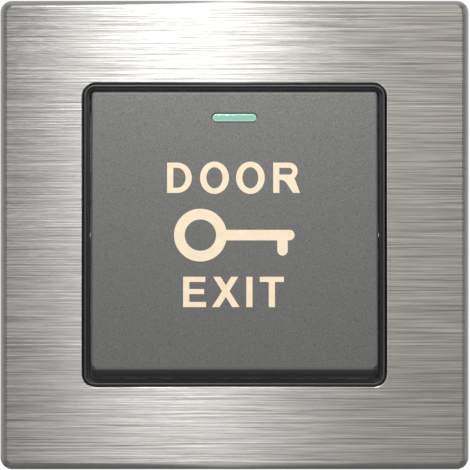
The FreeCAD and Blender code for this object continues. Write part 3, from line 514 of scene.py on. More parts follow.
class Effects:
    """Shader groups, each built once and placed in every finish that uses it."""

    wander_rate = 60.0
    wander_reach = 0.00012
    grain_reach = (0.34, 0.66)
    cloud_reach = (0.30, 0.70)
    stipple_reach = (0.28, 0.72)

    def __init__(self) -> None:
        """Build the groups."""
        self.grain = self._grain()
        self.clouds = self._clouds()
        self.stipple = self._stipple()

    @staticmethod
    def _start(name: str, inputs: dict[str, str], output: str, kind: str) -> tuple:
        """An empty group with its sockets.

        Args:
            name: The group's name.
            inputs: The kind of each input, by its name.
            output: The name of the one output.
            kind: The output's kind.

        Returns:
            The tree, its input node and its output node.
        """
        tree = bpy.data.node_groups.new(name, "ShaderNodeTree")
        for title, socket in inputs.items():
            tree.interface.new_socket(title, in_out="INPUT", socket_type="NodeSocket" + socket)
        tree.interface.new_socket(output, in_out="OUTPUT", socket_type="NodeSocket" + kind)
        return tree, tree.nodes.new("NodeGroupInput"), tree.nodes.new("NodeGroupOutput")

    @staticmethod
    def _rate(tree: bpy.types.NodeTree, size: bpy.types.NodeSocket) -> bpy.types.NodeSocket:
        """How often an effect repeats in a metre, from its size in millimetres."""
        return lay(tree, "ShaderNodeMath", {0: 1 / MM, 1: size}, operation="DIVIDE").outputs[0]

    @staticmethod
    def _vectors(tree: bpy.types.NodeTree, operation: str, one: object, two: object) -> bpy.types.NodeSocket:
        """The result of a sum on two vectors."""
        return lay(tree, "ShaderNodeVectorMath", {0: one, 1: two}, operation=operation).outputs[0]

    @staticmethod
    def _noise(tree: bpy.types.NodeTree, place: bpy.types.NodeSocket, scale: object, detail: float,
               rough: float, reach: tuple[float, float]) -> bpy.types.NodeSocket:
        """Noise that fills the range from 0 to 1.

        Args:
            tree: The group's tree.
            place: Where on the piece the noise is read.
            scale: How often it repeats.
            detail: How many finer layers it has.
            rough: How strong the finer layers are.
            reach: The values of the noise that become 0 and 1.

        Returns:
            The value.
        """
        noise = lay(tree, "ShaderNodeTexNoise",
                    {"Vector": place, "Scale": scale, "Detail": detail, "Roughness": rough})
        return lay(tree, "ShaderNodeMapRange", {"Value": noise.outputs[0], "From Min": reach[0],
                                                "From Max": reach[1]}).outputs[0]

    def _grain(self) -> bpy.types.NodeTree:
        """Build long wandering scratches along X.

        Returns:
            The group, which puts out a value from 0 to 1.
        """
        inputs = {"Vector": "Vector", "Length": "Float", "Pitch": "Float"}
        tree, given, result = self._start("long_grain", inputs, "Value", "Float")
        place = given.outputs["Vector"]
        along, across = (self._rate(tree, given.outputs[title]) for title in ("Length", "Pitch"))
        rates = lay(tree, "ShaderNodeCombineXYZ", {"X": along, "Y": across, "Z": across})
        drift = lay(tree, "ShaderNodeTexNoise", {"Vector": place, "Scale": self.wander_rate, "Detail": 1.0})
        bend = self._vectors(tree, "MULTIPLY", drift.outputs["Color"], (0.0, 0.0, self.wander_reach))
        bent = self._vectors(tree, "ADD", place, bend)
        drawn = self._vectors(tree, "MULTIPLY", bent, rates.outputs[0])
        scratches = self._noise(tree, drawn, scale=1.0, detail=4.0, rough=0.62, reach=self.grain_reach)
        tree.links.new(scratches, result.inputs[0])
        return tree

    def _clouds(self) -> bpy.types.NodeTree:
        """Build a slow drift between two colours, as in mouldings and plating.

        Returns:
            The group, which puts out a colour.
        """
        inputs = {"Vector": "Vector", "Size": "Float", "Light": "Color", "Dark": "Color"}
        tree, given, result = self._start("soft_clouds", inputs, "Color", "Color")
        place, rate = given.outputs["Vector"], self._rate(tree, given.outputs["Size"])
        cloud = self._noise(tree, place, rate, detail=5.0, rough=0.55, reach=self.cloud_reach)
        mix = lay(tree, "ShaderNodeMix", {0: cloud, 6: given.outputs["Dark"], 7: given.outputs["Light"]},
                  data_type="RGBA")
        tree.links.new(mix.outputs[2], result.inputs[0])
        return tree

    def _stipple(self) -> bpy.types.NodeTree:
        """Build the fine even grain of a sparked mould or a flake lacquer.

        Returns:
            The group, which puts out a value from 0 to 1.
        """
        inputs = {"Vector": "Vector", "Size": "Float"}
        tree, given, result = self._start("fine_stipple", inputs, "Value", "Float")
        place, rate = given.outputs["Vector"], self._rate(tree, given.outputs["Size"])
        dots = self._noise(tree, place, rate, detail=2.0, rough=0.7, reach=self.stipple_reach)
        tree.links.new(dots, result.inputs[0])
        return tree


class Surface:
    """The node tree of one finish, with its shader and the piece's own coordinates."""

    def __init__(self, name: str, metallic: float, **values: float) -> None:
        """Start a material whose shader has the given plain values.

        Args:
            name: The material's name.
            metallic: 1 for bare metal, 0 for anything else.
            values: The shader's other plain values, by the socket's name in small letters.
        """
        self.material = bpy.data.materials.new(name)
        self.material.use_nodes = True
        self.tree = self.material.node_tree
        self.shader = next(node for node in self.tree.nodes if node.type == "BSDF_PRINCIPLED")
        self.place = lay(self.tree, "ShaderNodeTexCoord").outputs["Object"]
        self.shader.inputs["Metallic"].default_value = metallic
        for title, value in values.items():
            words = title.replace("_", " ").title().replace("Ior", "IOR")
            self.shader.inputs[words].default_value = value

    def effect(self, group: bpy.types.NodeTree, **inputs: object) -> bpy.types.NodeSocket:
        """Place a shared effect on the piece's own coordinates.

        Args:
            group: The effect.
            inputs: Its sizes and colours, by name.

        Returns:
            What the effect puts out.
        """
        node = lay(self.tree, "ShaderNodeGroup", node_tree=group)
        self.tree.links.new(self.place, node.inputs["Vector"])
        for title, value in inputs.items():
            node.inputs[title.title()].default_value = (*value, 1.0) if isinstance(value, tuple) else value
        return node.outputs[0]

    def spread(self, value: bpy.types.NodeSocket, low: float, high: float) -> bpy.types.NodeSocket:
        """Take a value from 0 to 1 into another range."""
        inputs = {"Value": value, "To Min": low, "To Max": high}
        return lay(self.tree, "ShaderNodeMapRange", inputs).outputs[0]

    def ramp(self, value: bpy.types.NodeSocket, low: float, high: float) -> bpy.types.NodeSocket:
        """Go from 0 to 1 while a value goes from one limit to the other."""
        inputs = {"Value": value, "From Min": low, "From Max": high}
        return lay(self.tree, "ShaderNodeMapRange", inputs).outputs[0]

    def share(self, one: bpy.types.NodeSocket, two: bpy.types.NodeSocket,
              first: float) -> bpy.types.NodeSocket:
        """Add a share of one value to the rest of another."""
        return self.sum("ADD", self.sum("MULTIPLY", one, first), self.sum("MULTIPLY", two, 1 - first))

    def blend(self, value: bpy.types.NodeSocket, one: object, two: object) -> bpy.types.NodeSocket:
        """Mix two colours by a value.

        Args:
            value: The share of the second colour.
            one: A colour, or a socket of one.
            two: The other.

        Returns:
            The mixed colour.
        """
        pair = [(*c, 1.0) if isinstance(c, tuple) else c for c in (one, two)]
        mix = lay(self.tree, "ShaderNodeMix", {0: value, 6: pair[0], 7: pair[1]}, data_type="RGBA")
        return mix.outputs[2]

    def sum(self, operation: str, one: object, two: object = 0.0) -> bpy.types.NodeSocket:
        """The result of a sum on two values or sockets."""
        return lay(self.tree, "ShaderNodeMath", {0: one, 1: two}, operation=operation).outputs[0]

    def axes(self) -> dict[str, bpy.types.NodeSocket]:
        """The piece's own coordinates one by one, in metres."""
        split = lay(self.tree, "ShaderNodeSeparateXYZ", {0: self.place})
        return {title: split.outputs[title] for title in "XYZ"}

    def colour(self, socket: bpy.types.NodeSocket) -> None:
        """Give the surface its colour."""
        self.tree.links.new(socket, self.shader.inputs["Base Color"])

    def roughness(self, socket: bpy.types.NodeSocket) -> None:
        """Give the surface its roughness."""
        self.tree.links.new(socket, self.shader.inputs["Roughness"])

    def relief(self, height: bpy.types.NodeSocket, depth: float) -> None:
        """Give the surface a relief, whose depth is in millimetres."""
        bump = lay(self.tree, "ShaderNodeBump", {"Height": height, "Distance": depth * MM, "Strength": 1.0})
        self.tree.links.new(bump.outputs[0], self.shader.inputs["Normal"])


# Finishes


@dataclass(frozen=True)
class BrushedFace:
    """Steel sheet brushed in one direction, with long fine scratches along X, and a painted highlight on its
    rounded front edge.
    """

    name: str = "brushed_steel_face"
    light: Colour = (0.335, 0.330, 0.318)
    dark: Colour = (0.076, 0.075, 0.071)
    # A lighter colour laid over the rounded front edge: a painted highlight.
    bend: Colour = (0.360, 0.356, 0.344)
    fine_length: float = 15.0
    fine_pitch: float = 0.14
    broad_length: float = 30.0
    broad_pitch: float = 0.31
    share: float = 0.5
    scratch: float = 0.008
    smooth: float = 0.31
    rough: float = 0.39
    flat_half: float = 41.8
    half: float = 42.6

    def build(self, effects: Effects) -> bpy.types.Material:
        """Lay out the finish.

        Args:
            effects: The shared effects.

        Returns:
            The finished material.
        """
        face = Surface(self.name, metallic=1.0, anisotropic=1.0, anisotropic_rotation=0.25)
        fine = face.effect(effects.grain, length=self.fine_length, pitch=self.fine_pitch)
        broad = face.effect(effects.grain, length=self.broad_length, pitch=self.broad_pitch)
        both = face.share(fine, broad, self.share)
        axes = face.axes()
        # Painted highlight: towards the rounded front edge the colour turns to the lighter bend colour.
        reach = face.sum("MAXIMUM", face.sum("ABSOLUTE", axes["X"]), face.sum("ABSOLUTE", axes["Z"]))
        bend = face.ramp(reach, self.flat_half * MM, self.half * MM)
        face.colour(face.blend(bend, face.blend(both, self.dark, self.light), self.bend))
        face.roughness(face.spread(fine, self.rough, self.smooth))
        face.relief(both, self.scratch)
        tangent = lay(face.tree, "ShaderNodeTangent", direction_type="RADIAL", axis="Z")
        face.tree.links.new(tangent.outputs[0], face.shader.inputs["Tangent"])
        return face.material


@dataclass(frozen=True)
class FlakeLacquer:
    """Satin grey lacquer with a very fine metal flake, and a painted highlight along the edges of the lip."""

    name: str = "grey_paddle"
    light: Colour = (0.142, 0.142, 0.138)
    dark: Colour = (0.050, 0.050, 0.048)
    # The lighter colour of a painted highlight along the top and the foot of the lip.
    edge_highlight: Colour = (0.200, 0.200, 0.194)
    lip_top: float = -24.5
    lip_foot: float = -26.1
    highlight_band: float = 0.14
    flake: float = 0.16
    metallic: float = 0.45
    depth: float = 0.003
    smooth: float = 0.38
    rough: float = 0.50

    def build(self, effects: Effects) -> bpy.types.Material:
        """Lay out the finish.

        Args:
            effects: The shared effects.

        Returns:
            The finished material.
        """
        face = Surface(self.name, self.metallic)
        flake = face.effect(effects.stipple, size=self.flake)
        height = face.axes()["Z"]
        # Painted highlight: thin bands at the lip's top and foot get the lighter colour.
        edges = [face.sum("LESS_THAN", face.sum("ABSOLUTE", face.sum("SUBTRACT", height, edge * MM)),
                          self.highlight_band * MM) for edge in (self.lip_top, self.lip_foot)]
        lacquer = face.blend(flake, self.dark, self.light)
        face.colour(face.blend(face.sum("MAXIMUM", *edges), lacquer, self.edge_highlight))
        face.roughness(face.spread(flake, self.rough, self.smooth))
        face.relief(face.effect(effects.stipple, size=self.flake * 2), self.depth)
        return face.material


@dataclass(frozen=True)
class Moulding:
    """A moulded plastic or rubber with a fine sparked grain and faint flow clouds."""

    name: str
    light: Colour
    dark: Colour
    grain: float = 0.25
    depth: float = 0.006
    cloud: float = 9.0
    smooth: float = 0.40
    rough: float = 0.52

    def build(self, effects: Effects) -> bpy.types.Material:
        """Lay out the finish.

        Args:
            effects: The shared effects.

        Returns:
            The finished material.
        """
        face = Surface(self.name, metallic=0.0)
        face.colour(face.effect(effects.clouds, size=self.cloud, light=self.light, dark=self.dark))
        grain = face.effect(effects.stipple, size=self.grain)
        face.roughness(face.spread(grain, self.smooth, self.rough))
        face.relief(grain, self.depth)
        return face.material


@dataclass(frozen=True)
class TrayBlack:
    """Satin black moulding whose raised ridge is painted a little lighter, a painted highlight."""

    name: str = "black_moulding"
    light: Colour = (0.007, 0.007, 0.009)
    dark: Colour = (0.004, 0.004, 0.006)
    # The lighter colour of a painted highlight on the raised ridge.
    ridge_highlight: Colour = (0.045, 0.045, 0.050)
    ridge_from: float = 9.12
    ridge_to: float = 9.30
    cloud: float = 9.0
    grain: float = 0.25
    depth: float = 0.002
    smooth: float = 0.30
    rough: float = 0.38

    def build(self, effects: Effects) -> bpy.types.Material:
        """Lay out the finish.

        Args:
            effects: The shared effects.

        Returns:
            The finished material.
        """
        face = Surface(self.name, metallic=0.0, specular_ior_level=0.35)
        # Painted highlight: the ridge that stands furthest forward gets the lighter colour.
        stand = face.sum("MULTIPLY", face.axes()["Y"], -1.0)
        raised = face.ramp(stand, self.ridge_from * MM, self.ridge_to * MM)
        plain = face.effect(effects.clouds, size=self.cloud, light=self.light, dark=self.dark)
        face.colour(face.blend(raised, plain, self.ridge_highlight))
        grain = face.effect(effects.stipple, size=self.grain)
        face.roughness(face.spread(grain, self.smooth, self.rough))
        face.relief(grain, self.depth)
        return face.material


@dataclass(frozen=True)
class Metal:
    """Drawn, rolled or turned metal with fine tool marks along X and a faint tarnish."""

    name: str
    light: Colour
    dark: Colour
    length: float = 4.0
    pitch: float = 0.12
    cloud: float = 5.0
    smooth: float = 0.22
    rough: float = 0.38
    depth: float = 0.004

    def build(self, effects: Effects) -> bpy.types.Material:
        """Lay out the finish.

        Args:
            effects: The shared effects.

        Returns:
            The finished material.
        """
        face = Surface(self.name, metallic=1.0)
        marks = face.effect(effects.grain, length=self.length, pitch=self.pitch)
        face.colour(face.effect(effects.clouds, size=self.cloud, light=self.light, dark=self.dark))
        face.roughness(face.spread(marks, self.smooth, self.rough))
        face.relief(marks, self.depth)
        return face.material


@dataclass(frozen=True)
class ZincSpangle:
    """Galvanised sheet: leafy crystals, each with its own grey and gloss."""

    name: str = "galvanised_steel"
    crystal: float = 2.6
    light: Colour = (0.62, 0.64, 0.66)
    dark: Colour = (0.38, 0.40, 0.42)
    leaf_length: float = 1.2
    leaf_pitch: float = 0.3
    share: float = 0.75
    depth: float = 0.006
    smooth: float = 0.30
    rough: float = 0.48

    def build(self, effects: Effects) -> bpy.types.Material:
        """Lay out the finish.

        Args:
            effects: The shared effects.

        Returns:
            The finished material.
        """
        face = Surface(self.name, metallic=1.0)
        rate = 1 / (self.crystal * MM)
        cells = lay(face.tree, "ShaderNodeTexVoronoi", {"Vector": face.place, "Scale": rate})
        tone = lay(face.tree, "ShaderNodeSeparateColor", {0: cells.outputs["Color"]})
        leaf = face.effect(effects.grain, length=self.leaf_length, pitch=self.leaf_pitch)
        mixed = face.share(tone.outputs[0], leaf, self.share)
        face.colour(face.blend(mixed, self.dark, self.light))
        face.roughness(face.spread(tone.outputs[1], self.smooth, self.rough))
        face.relief(mixed, self.depth)
        return face.material


@dataclass(frozen=True)
class MintGuide:
    """Frosted light guide with a painted highlight round its full-round ends, and a faint painted glow in its
    own colour.
    """

    name: str = "mint_lens"
    core: Colour = (0.180, 0.400, 0.315)
    rim: Colour = (0.440, 0.670, 0.590)
    # The lighter colour of a painted highlight round the ends.
    straight: float = 3.32
    height: float = 21.5
    inner: float = 0.40
    outer: float = 0.62
    frost: float = 0.3
    depth: float = 0.002

    def build(self, effects: Effects) -> bpy.types.Material:
        """Lay out the finish.

        Args:
            effects: The shared effects.

        Returns:
            The finished material.
        """
        # The emission strength and the link to Emission Color below give the guide a faint painted glow in
        # its own colour; it is no lamp.
        face = Surface(self.name, metallic=0.0, roughness=0.28, coat_weight=0.6, coat_roughness=0.08,
                       emission_strength=0.12)
        axes = face.axes()
        beyond = face.sum("SUBTRACT", face.sum("ABSOLUTE", axes["X"]), self.straight * MM)
        side = face.sum("MAXIMUM", beyond)
        rise = face.sum("SUBTRACT", axes["Z"], self.height * MM)
        reach = face.sum("SQRT", face.sum("ADD", face.sum("POWER", side, 2.0), face.sum("POWER", rise, 2.0)))
        # Painted highlight: the colour turns lighter near the rounded ends.
        edge = face.ramp(reach, self.inner * MM, self.outer * MM)
        colour = face.blend(edge, self.core, self.rim)
        face.colour(colour)
        # Painted glow: the guide's colour also feeds its emission.
        face.tree.links.new(colour, face.shader.inputs["Emission Color"])
        face.relief(face.effect(effects.stipple, size=self.frost), self.depth)
        return face.material


@dataclass(frozen=True)
class PrintInk:
    """Cream pad print, a little uneven in its cover."""

    name: str = "cream_print"
    light: Colour = (0.860, 0.720, 0.540)
    dark: Colour = (0.800, 0.665, 0.490)
    cloud: float = 1.5
    grain: float = 0.2
    smooth: float = 0.50
    rough: float = 0.65

    def build(self, effects: Effects) -> bpy.types.Material:
        """Lay out the finish.

        Args:
            effects: The shared effects.

        Returns:
            The finished material.
        """
        face = Surface(self.name, metallic=0.0, specular_ior_level=0.3)
        face.colour(face.effect(effects.clouds, size=self.cloud, light=self.light, dark=self.dark))
        face.roughness(face.spread(face.effect(effects.stipple, size=self.grain), self.smooth, self.rough))
        return face.material


@dataclass(frozen=True)
class Laminate:
    """Circuit board: green solder mask over a woven core."""

    name: str = "circuit_board"
    mask: Colour = (0.020, 0.150, 0.060)
    track: Colour = (0.050, 0.260, 0.110)
    pitch: float = 1.27
    waves: float = 0.3
    line_from: float = 0.70
    line_to: float = 0.78
    grain: float = 0.15
    depth: float = 0.02
    smooth: float = 0.35
    rough: float = 0.50

    def build(self, effects: Effects) -> bpy.types.Material:
        """Lay out the finish.

        Args:
            effects: The shared effects.

        Returns:
            The finished material.
        """
        face = Surface(self.name, metallic=0.0, coat_weight=0.4, coat_roughness=0.2)
        rate = self.waves / (self.pitch * MM)
        wave = lay(face.tree, "ShaderNodeTexWave", {"Vector": face.place, "Scale": rate}, bands_direction="Z")
        lines = face.ramp(wave.outputs["Fac"], self.line_from, self.line_to)
        face.colour(face.blend(lines, self.mask, self.track))
        face.roughness(face.spread(face.effect(effects.stipple, size=self.grain), self.smooth, self.rough))
        face.relief(lines, self.depth)
        return face.material


@dataclass(frozen=True)
class ChipResistor:
    """Black body with tinned ends, found by their distance from the middle of the chip."""

    centre: float
    half: float
    name: str = "resistor_body"
    cap: float = 0.35
    black: Colour = (0.012, 0.012, 0.013)
    tin: Colour = (0.62, 0.62, 0.60)
    grain: float = 0.2
    smooth: float = 0.30
    rough: float = 0.45

    def build(self, effects: Effects) -> bpy.types.Material:
        """Lay out the finish.

        Args:
            effects: The shared effects.

        Returns:
            The finished material.
        """
        face = Surface(self.name, metallic=0.0)
        offset = face.sum("SUBTRACT", face.axes()["X"], self.centre)
        end = face.sum("GREATER_THAN", face.sum("ABSOLUTE", offset), self.half - self.cap * MM)
        face.colour(face.blend(end, self.black, self.tin))
        face.tree.links.new(end, face.shader.inputs["Metallic"])
        face.roughness(face.spread(face.effect(effects.stipple, size=self.grain), self.smooth, self.rough))
        return face.material


def build_finishes() -> dict[str, bpy.types.Material]:
    """Build every finish of the button.

    Returns:
        The materials, by the names of their slots.
    """
    chip_low, chip_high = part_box("led_resistor")
    centre, half = (chip_low.x + chip_high.x) / 2, (chip_high.x - chip_low.x) / 2
    finishes = [
        BrushedFace(), FlakeLacquer(), TrayBlack(), MintGuide(), PrintInk(), ZincSpangle(), Laminate(),
        ChipResistor(centre, half),
        Moulding("inner_moulding", (0.68, 0.68, 0.655), (0.60, 0.60, 0.575)),
        Moulding("case_moulding", (0.76, 0.76, 0.73), (0.67, 0.67, 0.64), grain=0.4, depth=0.01),
        Moulding("nylon", (0.82, 0.80, 0.74), (0.74, 0.72, 0.66), smooth=0.30, rough=0.42),
        Moulding("buffer_rubber", (0.030, 0.030, 0.030), (0.018, 0.018, 0.018), smooth=0.70, rough=0.85),
        Moulding("led_body", (0.78, 0.88, 0.82), (0.66, 0.78, 0.71), smooth=0.10, rough=0.20, depth=0.001),
        Metal("bright_steel", (0.70, 0.70, 0.70), (0.58, 0.58, 0.58), smooth=0.15, rough=0.28),
        Metal("spring_steel", (0.50, 0.50, 0.51), (0.38, 0.38, 0.39), length=0.8),
        Metal("screw_steel", (0.62, 0.62, 0.60), (0.50, 0.50, 0.48), length=1.5),
        Metal("brass_strip", (0.72, 0.54, 0.26), (0.60, 0.43, 0.19), length=6.0),
        Metal("silver_contact", (0.84, 0.82, 0.78), (0.72, 0.69, 0.64), smooth=0.18, rough=0.30),
    ]
    effects = Effects()
    return {finish.name: finish.build(effects) for finish in finishes}


# The button


class Bench:
    """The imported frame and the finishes, and the last steps of every piece."""

    def __init__(self, frame: dict) -> None:
        """Keep the frame and build the finishes.
        """
        self.nodes = frame["nodes"]
        self.slots = {part["node"]: part["material_slot"] for part in frame["record"]["subparts"]}
        self.finishes = build_finishes()

    def dress(self, piece: bpy.types.Object, slot: str) -> None:
        """Lay one finish over a whole piece."""
        piece.data.materials.clear()
        piece.data.materials.append(self.finishes[slot])

    def fit(self, piece: bpy.types.Object, slot: str, body: str, *nodes: str) -> bpy.types.Object:
        """Dress a piece, let it ride on its body and hide the nodes that it takes the place of.

        Args:
            piece: The finished object.
            slot: The name of its finish.
            body: The body that it rides on.
            nodes: The nodes that it takes the place of, if any.

        Returns:
            The same object.
        """
        self.dress(piece, slot)
        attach(piece, body)
        if nodes:
            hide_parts(*nodes)
        LOG.info("%s: %d faces on %s, in %s", piece.name, len(piece.data.polygons), body, slot)
        return piece

    def finish_node(self, node: str, name: str, width: float) -> bpy.types.Object:
        """Stand a merged and softened copy in for a rigid node of the frame.

        Args:
            node: The node's name.
            name: The name of the finished piece.
            width: The rounding of its crisp edges, in millimetres.

        Returns:
            The finished piece.
        """
        source = self.nodes[node]
        piece = soften(merged_copy(source, name), width)
        return self.fit(piece, self.slots[node], source["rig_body"], node)


@dataclass
class SteelFace:
    """Folded sheet with a rounded front edge and a bevelled square window."""

    half: float = 43.0
    corner: float = 2.2
    front: float = 9.0
    skirt: float = 1.2
    bend: float = 1.2
    sheet: float = 0.8
    window: float = 27.7
    window_corner: float = 2.15
    bevel: float = 0.4
    hold: float = 0.05
    bend_steps: int = 8
    fold_steps: int = 4
    bevel_steps: int = 5

    def build(self, bench: Bench) -> None:
        """Loft the sheet's section round the plate, with close rings that keep the flat face flat.

        Args:
            bench: The frame and the finishes.
        """
        back = -(self.front - self.sheet)
        flat = self.half - self.bend
        opened = self.window + self.bevel
        opened_corner = self.window_corner + self.bevel
        inside = self.half - self.sheet
        inside_corner = self.corner - self.sheet
        fold = round_over(inside, inside_corner, back, self.bend - self.sheet, 1, self.fold_steps)
        window = round_over(self.window, self.window_corner, -self.front, self.bevel, -1, self.bevel_steps)
        rings = [
            square(self.window, self.window_corner, back),
            *reversed(window),
            square(opened + self.hold, opened_corner + self.hold, -self.front),
            square(flat - self.hold, self.corner - self.bend - self.hold, -self.front),
            *round_over(self.half, self.corner, -self.front, self.bend, 1, self.bend_steps),
            square(self.half, self.corner, -self.skirt - self.hold),
            square(self.half - self.hold, self.corner - self.hold, -self.skirt),
            square(inside, inside_corner, -self.skirt),
            *reversed(fold),
        ]
        piece = settle(loft("steel_face", rings, Ends.JOINED))
        bench.fit(piece, "brushed_steel_face", Body.BASE.value, "face_plate")


@dataclass
class BlackTray:
    """Moulding behind the steel, with the stepped bezel, its ribs and its four snap hooks."""

    half: float = 42.1
    corner: float = 1.4
    front: float = 8.2
    web: float = 1.3
    rim: float = 1.5
    foot: float = 0.45
    foot_height: float = 1.1
    bezel: float = 27.6
    bezel_corner: float = 2.05
    ridge: float = 0.5
    ridge_bend: float = 0.2
    ridge_front: float = 9.35
    ledge: float = 8.9
    hole: float = 26.5
    hole_corner: float = 1.0
    lead_in: float = 1.1
    lead_rest: float = 0.25
    cavity_corner: float = 0.3
    shoulder: float = 0.5
    ridge_steps: int = 5
    tray_edge: float = 0.08
    rib_edge: float = 0.12
    hook_edge: float = 0.15
    rib: Vector = field(default_factory=lambda: Vector((1.0, 2.2, 11.95)))
    rib_place: float = 22.0
    hook_place: float = 15.0
    hook: Vector = field(default_factory=lambda: Vector((4.0, 5.3, 1.2)))
    hook_inner: float = 35.9
    barb: float = 0.7
    barb_root: float = 0.1
    barb_span: tuple[float, float] = (3.3, 2.0)

    def build(self, bench: Bench) -> None:
        """Loft the tray, then add its ribs and hooks.

        Args:
            bench: The frame and the finishes.
        """
        tray = soften(self._shell(), self.tray_edge)
        piece = join("black_tray", [tray, self._ribs(bench), *self._hooks()])
        bench.fit(piece, "black_moulding", Body.BASE.value, "face_carrier")

    def _shell(self) -> bpy.types.Object:
        """Loft the tray's section, from the bezel's hole round to the back and the hole's lead-in.

        Returns:
            The tray without its ribs and hooks.
        """
        inner = self.bezel - self.ridge
        inner_corner = self.bezel_corner - self.ridge
        back = self.front - self.web
        cavity = self.half - self.rim
        ridge = {"y": -self.ridge_front, "bend": self.ridge_bend, "steps": self.ridge_steps}
        rings = [
            square(self.hole, self.hole_corner, self.lead_in - self.ridge_front + self.lead_rest),
            square(self.hole, self.hole_corner, -self.ledge),
            square(inner, inner_corner, -self.ledge),
            *reversed(round_over(inner, inner_corner, turn=-1, **ridge)),
            *round_over(self.bezel, self.bezel_corner, turn=1, **ridge),
            square(self.bezel, self.bezel_corner, -self.front),
            square(self.half - self.shoulder, self.corner - self.shoulder, -self.front),
            square(self.half, self.corner, self.shoulder - self.front),
            square(self.half, self.corner, -self.foot_height),
            square(self.half + self.foot, self.corner, -self.foot_height),
            square(self.half + self.foot, self.corner, 0.0),
            square(cavity, self.cavity_corner, 0.0),
            square(cavity, self.cavity_corner, -back),
            square(self.hole + self.lead_in, self.bezel_corner, -back),
        ]
        return loft("tray_shell", rings, Ends.JOINED)

    def _ribs(self, bench: Bench) -> bpy.types.Object:
        """Set two ribs on each of the four sides, turned round the middle.

        Args:
            bench: The frame and the finishes.

        Returns:
            All eight ribs.
        """
        y = self.rib.y / 2 - self.front + self.web
        z = self.bezel + self.lead_in + self.rib.z / 2
        sizes = {"Rib": self.rib * MM, "Place": self.rib_place * MM, "Seat": Vector((0, y, z)) * MM}
        form = Former("tray_ribs", sizes)
        rib = form.put("MeshCube", {"Size": form.size("Rib")})
        seated = form.put("Transform", {"Geometry": rib.outputs[0], "Translation": form.size("Seat")})
        start, step = (form.way(X=form.sum("MULTIPLY", form.size("Place"), share)) for share in (-1.0, 2.0))
        pair = form.put("MeshLine", {"Count": 2, "Start Location": start, "Offset": step})
        two = form.put("InstanceOnPoints", {"Points": pair.outputs[0], "Instance": seated.outputs[0]})
        turn = form.sum("MULTIPLY", form.put("InputIndex").outputs[0], QUARTER)
        hub = form.put("MeshLine", {"Count": 4, "Offset": (0.0, 0.0, 0.0)})
        all_round = form.put("InstanceOnPoints", {"Points": hub.outputs[0], "Instance": two.outputs[0],
                                                  "Rotation": form.way(Y=turn)})
        return soften(form.make(all_round.outputs[0], bench.finishes["black_moulding"]), self.rib_edge)

    def _hooks(self) -> list[bpy.types.Object]:
        """Make four arms, with barbs that reach into the bracket's catches.

        Returns:
            The arms and the barbs.
        """
        back = self.web - self.front
        inner = self.hook_inner
        near_barb, far_barb = (-stand for stand in self.barb_span)
        parts = [("hook_arm", back, back + self.hook.y, inner, inner + self.hook.z),
                 ("hook_barb", near_barb, far_barb, inner - self.barb, inner + self.barb_root)]
        hooks = []
        for x_side in SIDES:
            left = x_side * self.hook_place - self.hook.x / 2
            right = left + self.hook.x
            for side in SIDES:
                for name, near, far, *span in parts:
                    low, high = sorted(side * z for z in span)
                    hooks.append(soften(block((left, near, low), (right, far, high), name), self.hook_edge))
        return hooks


@dataclass
class Slope:
    """The plane of the paddle's face."""

    top: float = 26.3
    top_stand: float = 9.6
    lip: float = -24.5
    lip_stand: float = 13.0

    @property
    def rate(self) -> float:
        """How much the face comes forward for each millimetre down."""
        return (self.lip_stand - self.top_stand) / (self.top - self.lip)

    def y(self, z: float) -> float:
        """The y of the face at a height."""
        return -self.top_stand - (self.top - z) * self.rate


def arc(centre: tuple[float, float], radii: tuple[float, float], start: float, end: float,
        steps: int = 24) -> Outline:
    """Go along part of an ellipse.

    Args:
        centre: Its middle.
        radii: Its half widths across and upwards.
        start: The angle of the first point in degrees.
        end: The angle of the last point.
        steps: How many chords it has.

    Returns:
        The points, with both ends.
    """
    points = []
    for step in range(steps + 1):
        angle = math.radians(start + (end - start) * step / steps)
        points.append((centre[0] + radii[0] * math.cos(angle), centre[1] + radii[1] * math.sin(angle)))
    return points


@dataclass
class Paddle:
    """The pressed wedge: the frame's own form, with the rim of its face rounded more than the rest."""

    rim: float = 0.34
    rim_steps: int = 4
    rest: float = 0.12
    field: float = 24.0
    near: float = 0.05
    crisp: float = 25.0

    def build(self, bench: Bench, slope: Slope) -> None:
        """Round the rim, then the other edges.

        Args:
            bench: The frame and the finishes.
            slope: The plane of the face.
        """
        source = bench.nodes["rocker_paddle"]
        piece = merged_copy(source, "grey_paddle")
        shape = bmesh.new()
        shape.from_mesh(piece.data)
        edges = [edge for edge in shape.edges if self._on_rim(edge, slope)]
        bmesh.ops.bevel(shape, geom=edges, offset=self.rim * MM, segments=self.rim_steps, profile=0.5,
                        affect="EDGES", clamp_overlap=False)
        shape.to_mesh(piece.data)
        shape.free()
        soften(piece, self.rest)
        bench.fit(piece, "grey_paddle", source["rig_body"], "rocker_paddle")

    def _on_rim(self, edge: bmesh.types.BMEdge, slope: Slope) -> bool:
        """Find out whether an edge lies on the outline of the face.

        Args:
            edge: The edge.
            slope: The plane of the face.

        Returns:
            True for a crisp edge with both ends on the outline.
        """
        for vert in edge.verts:
            x, y, z = vert.co / MM
            if abs(y - slope.y(z)) > self.near or max(abs(x), abs(z)) < self.field:
                return False
        return edge.calc_face_angle(0.0) > math.radians(self.crisp)


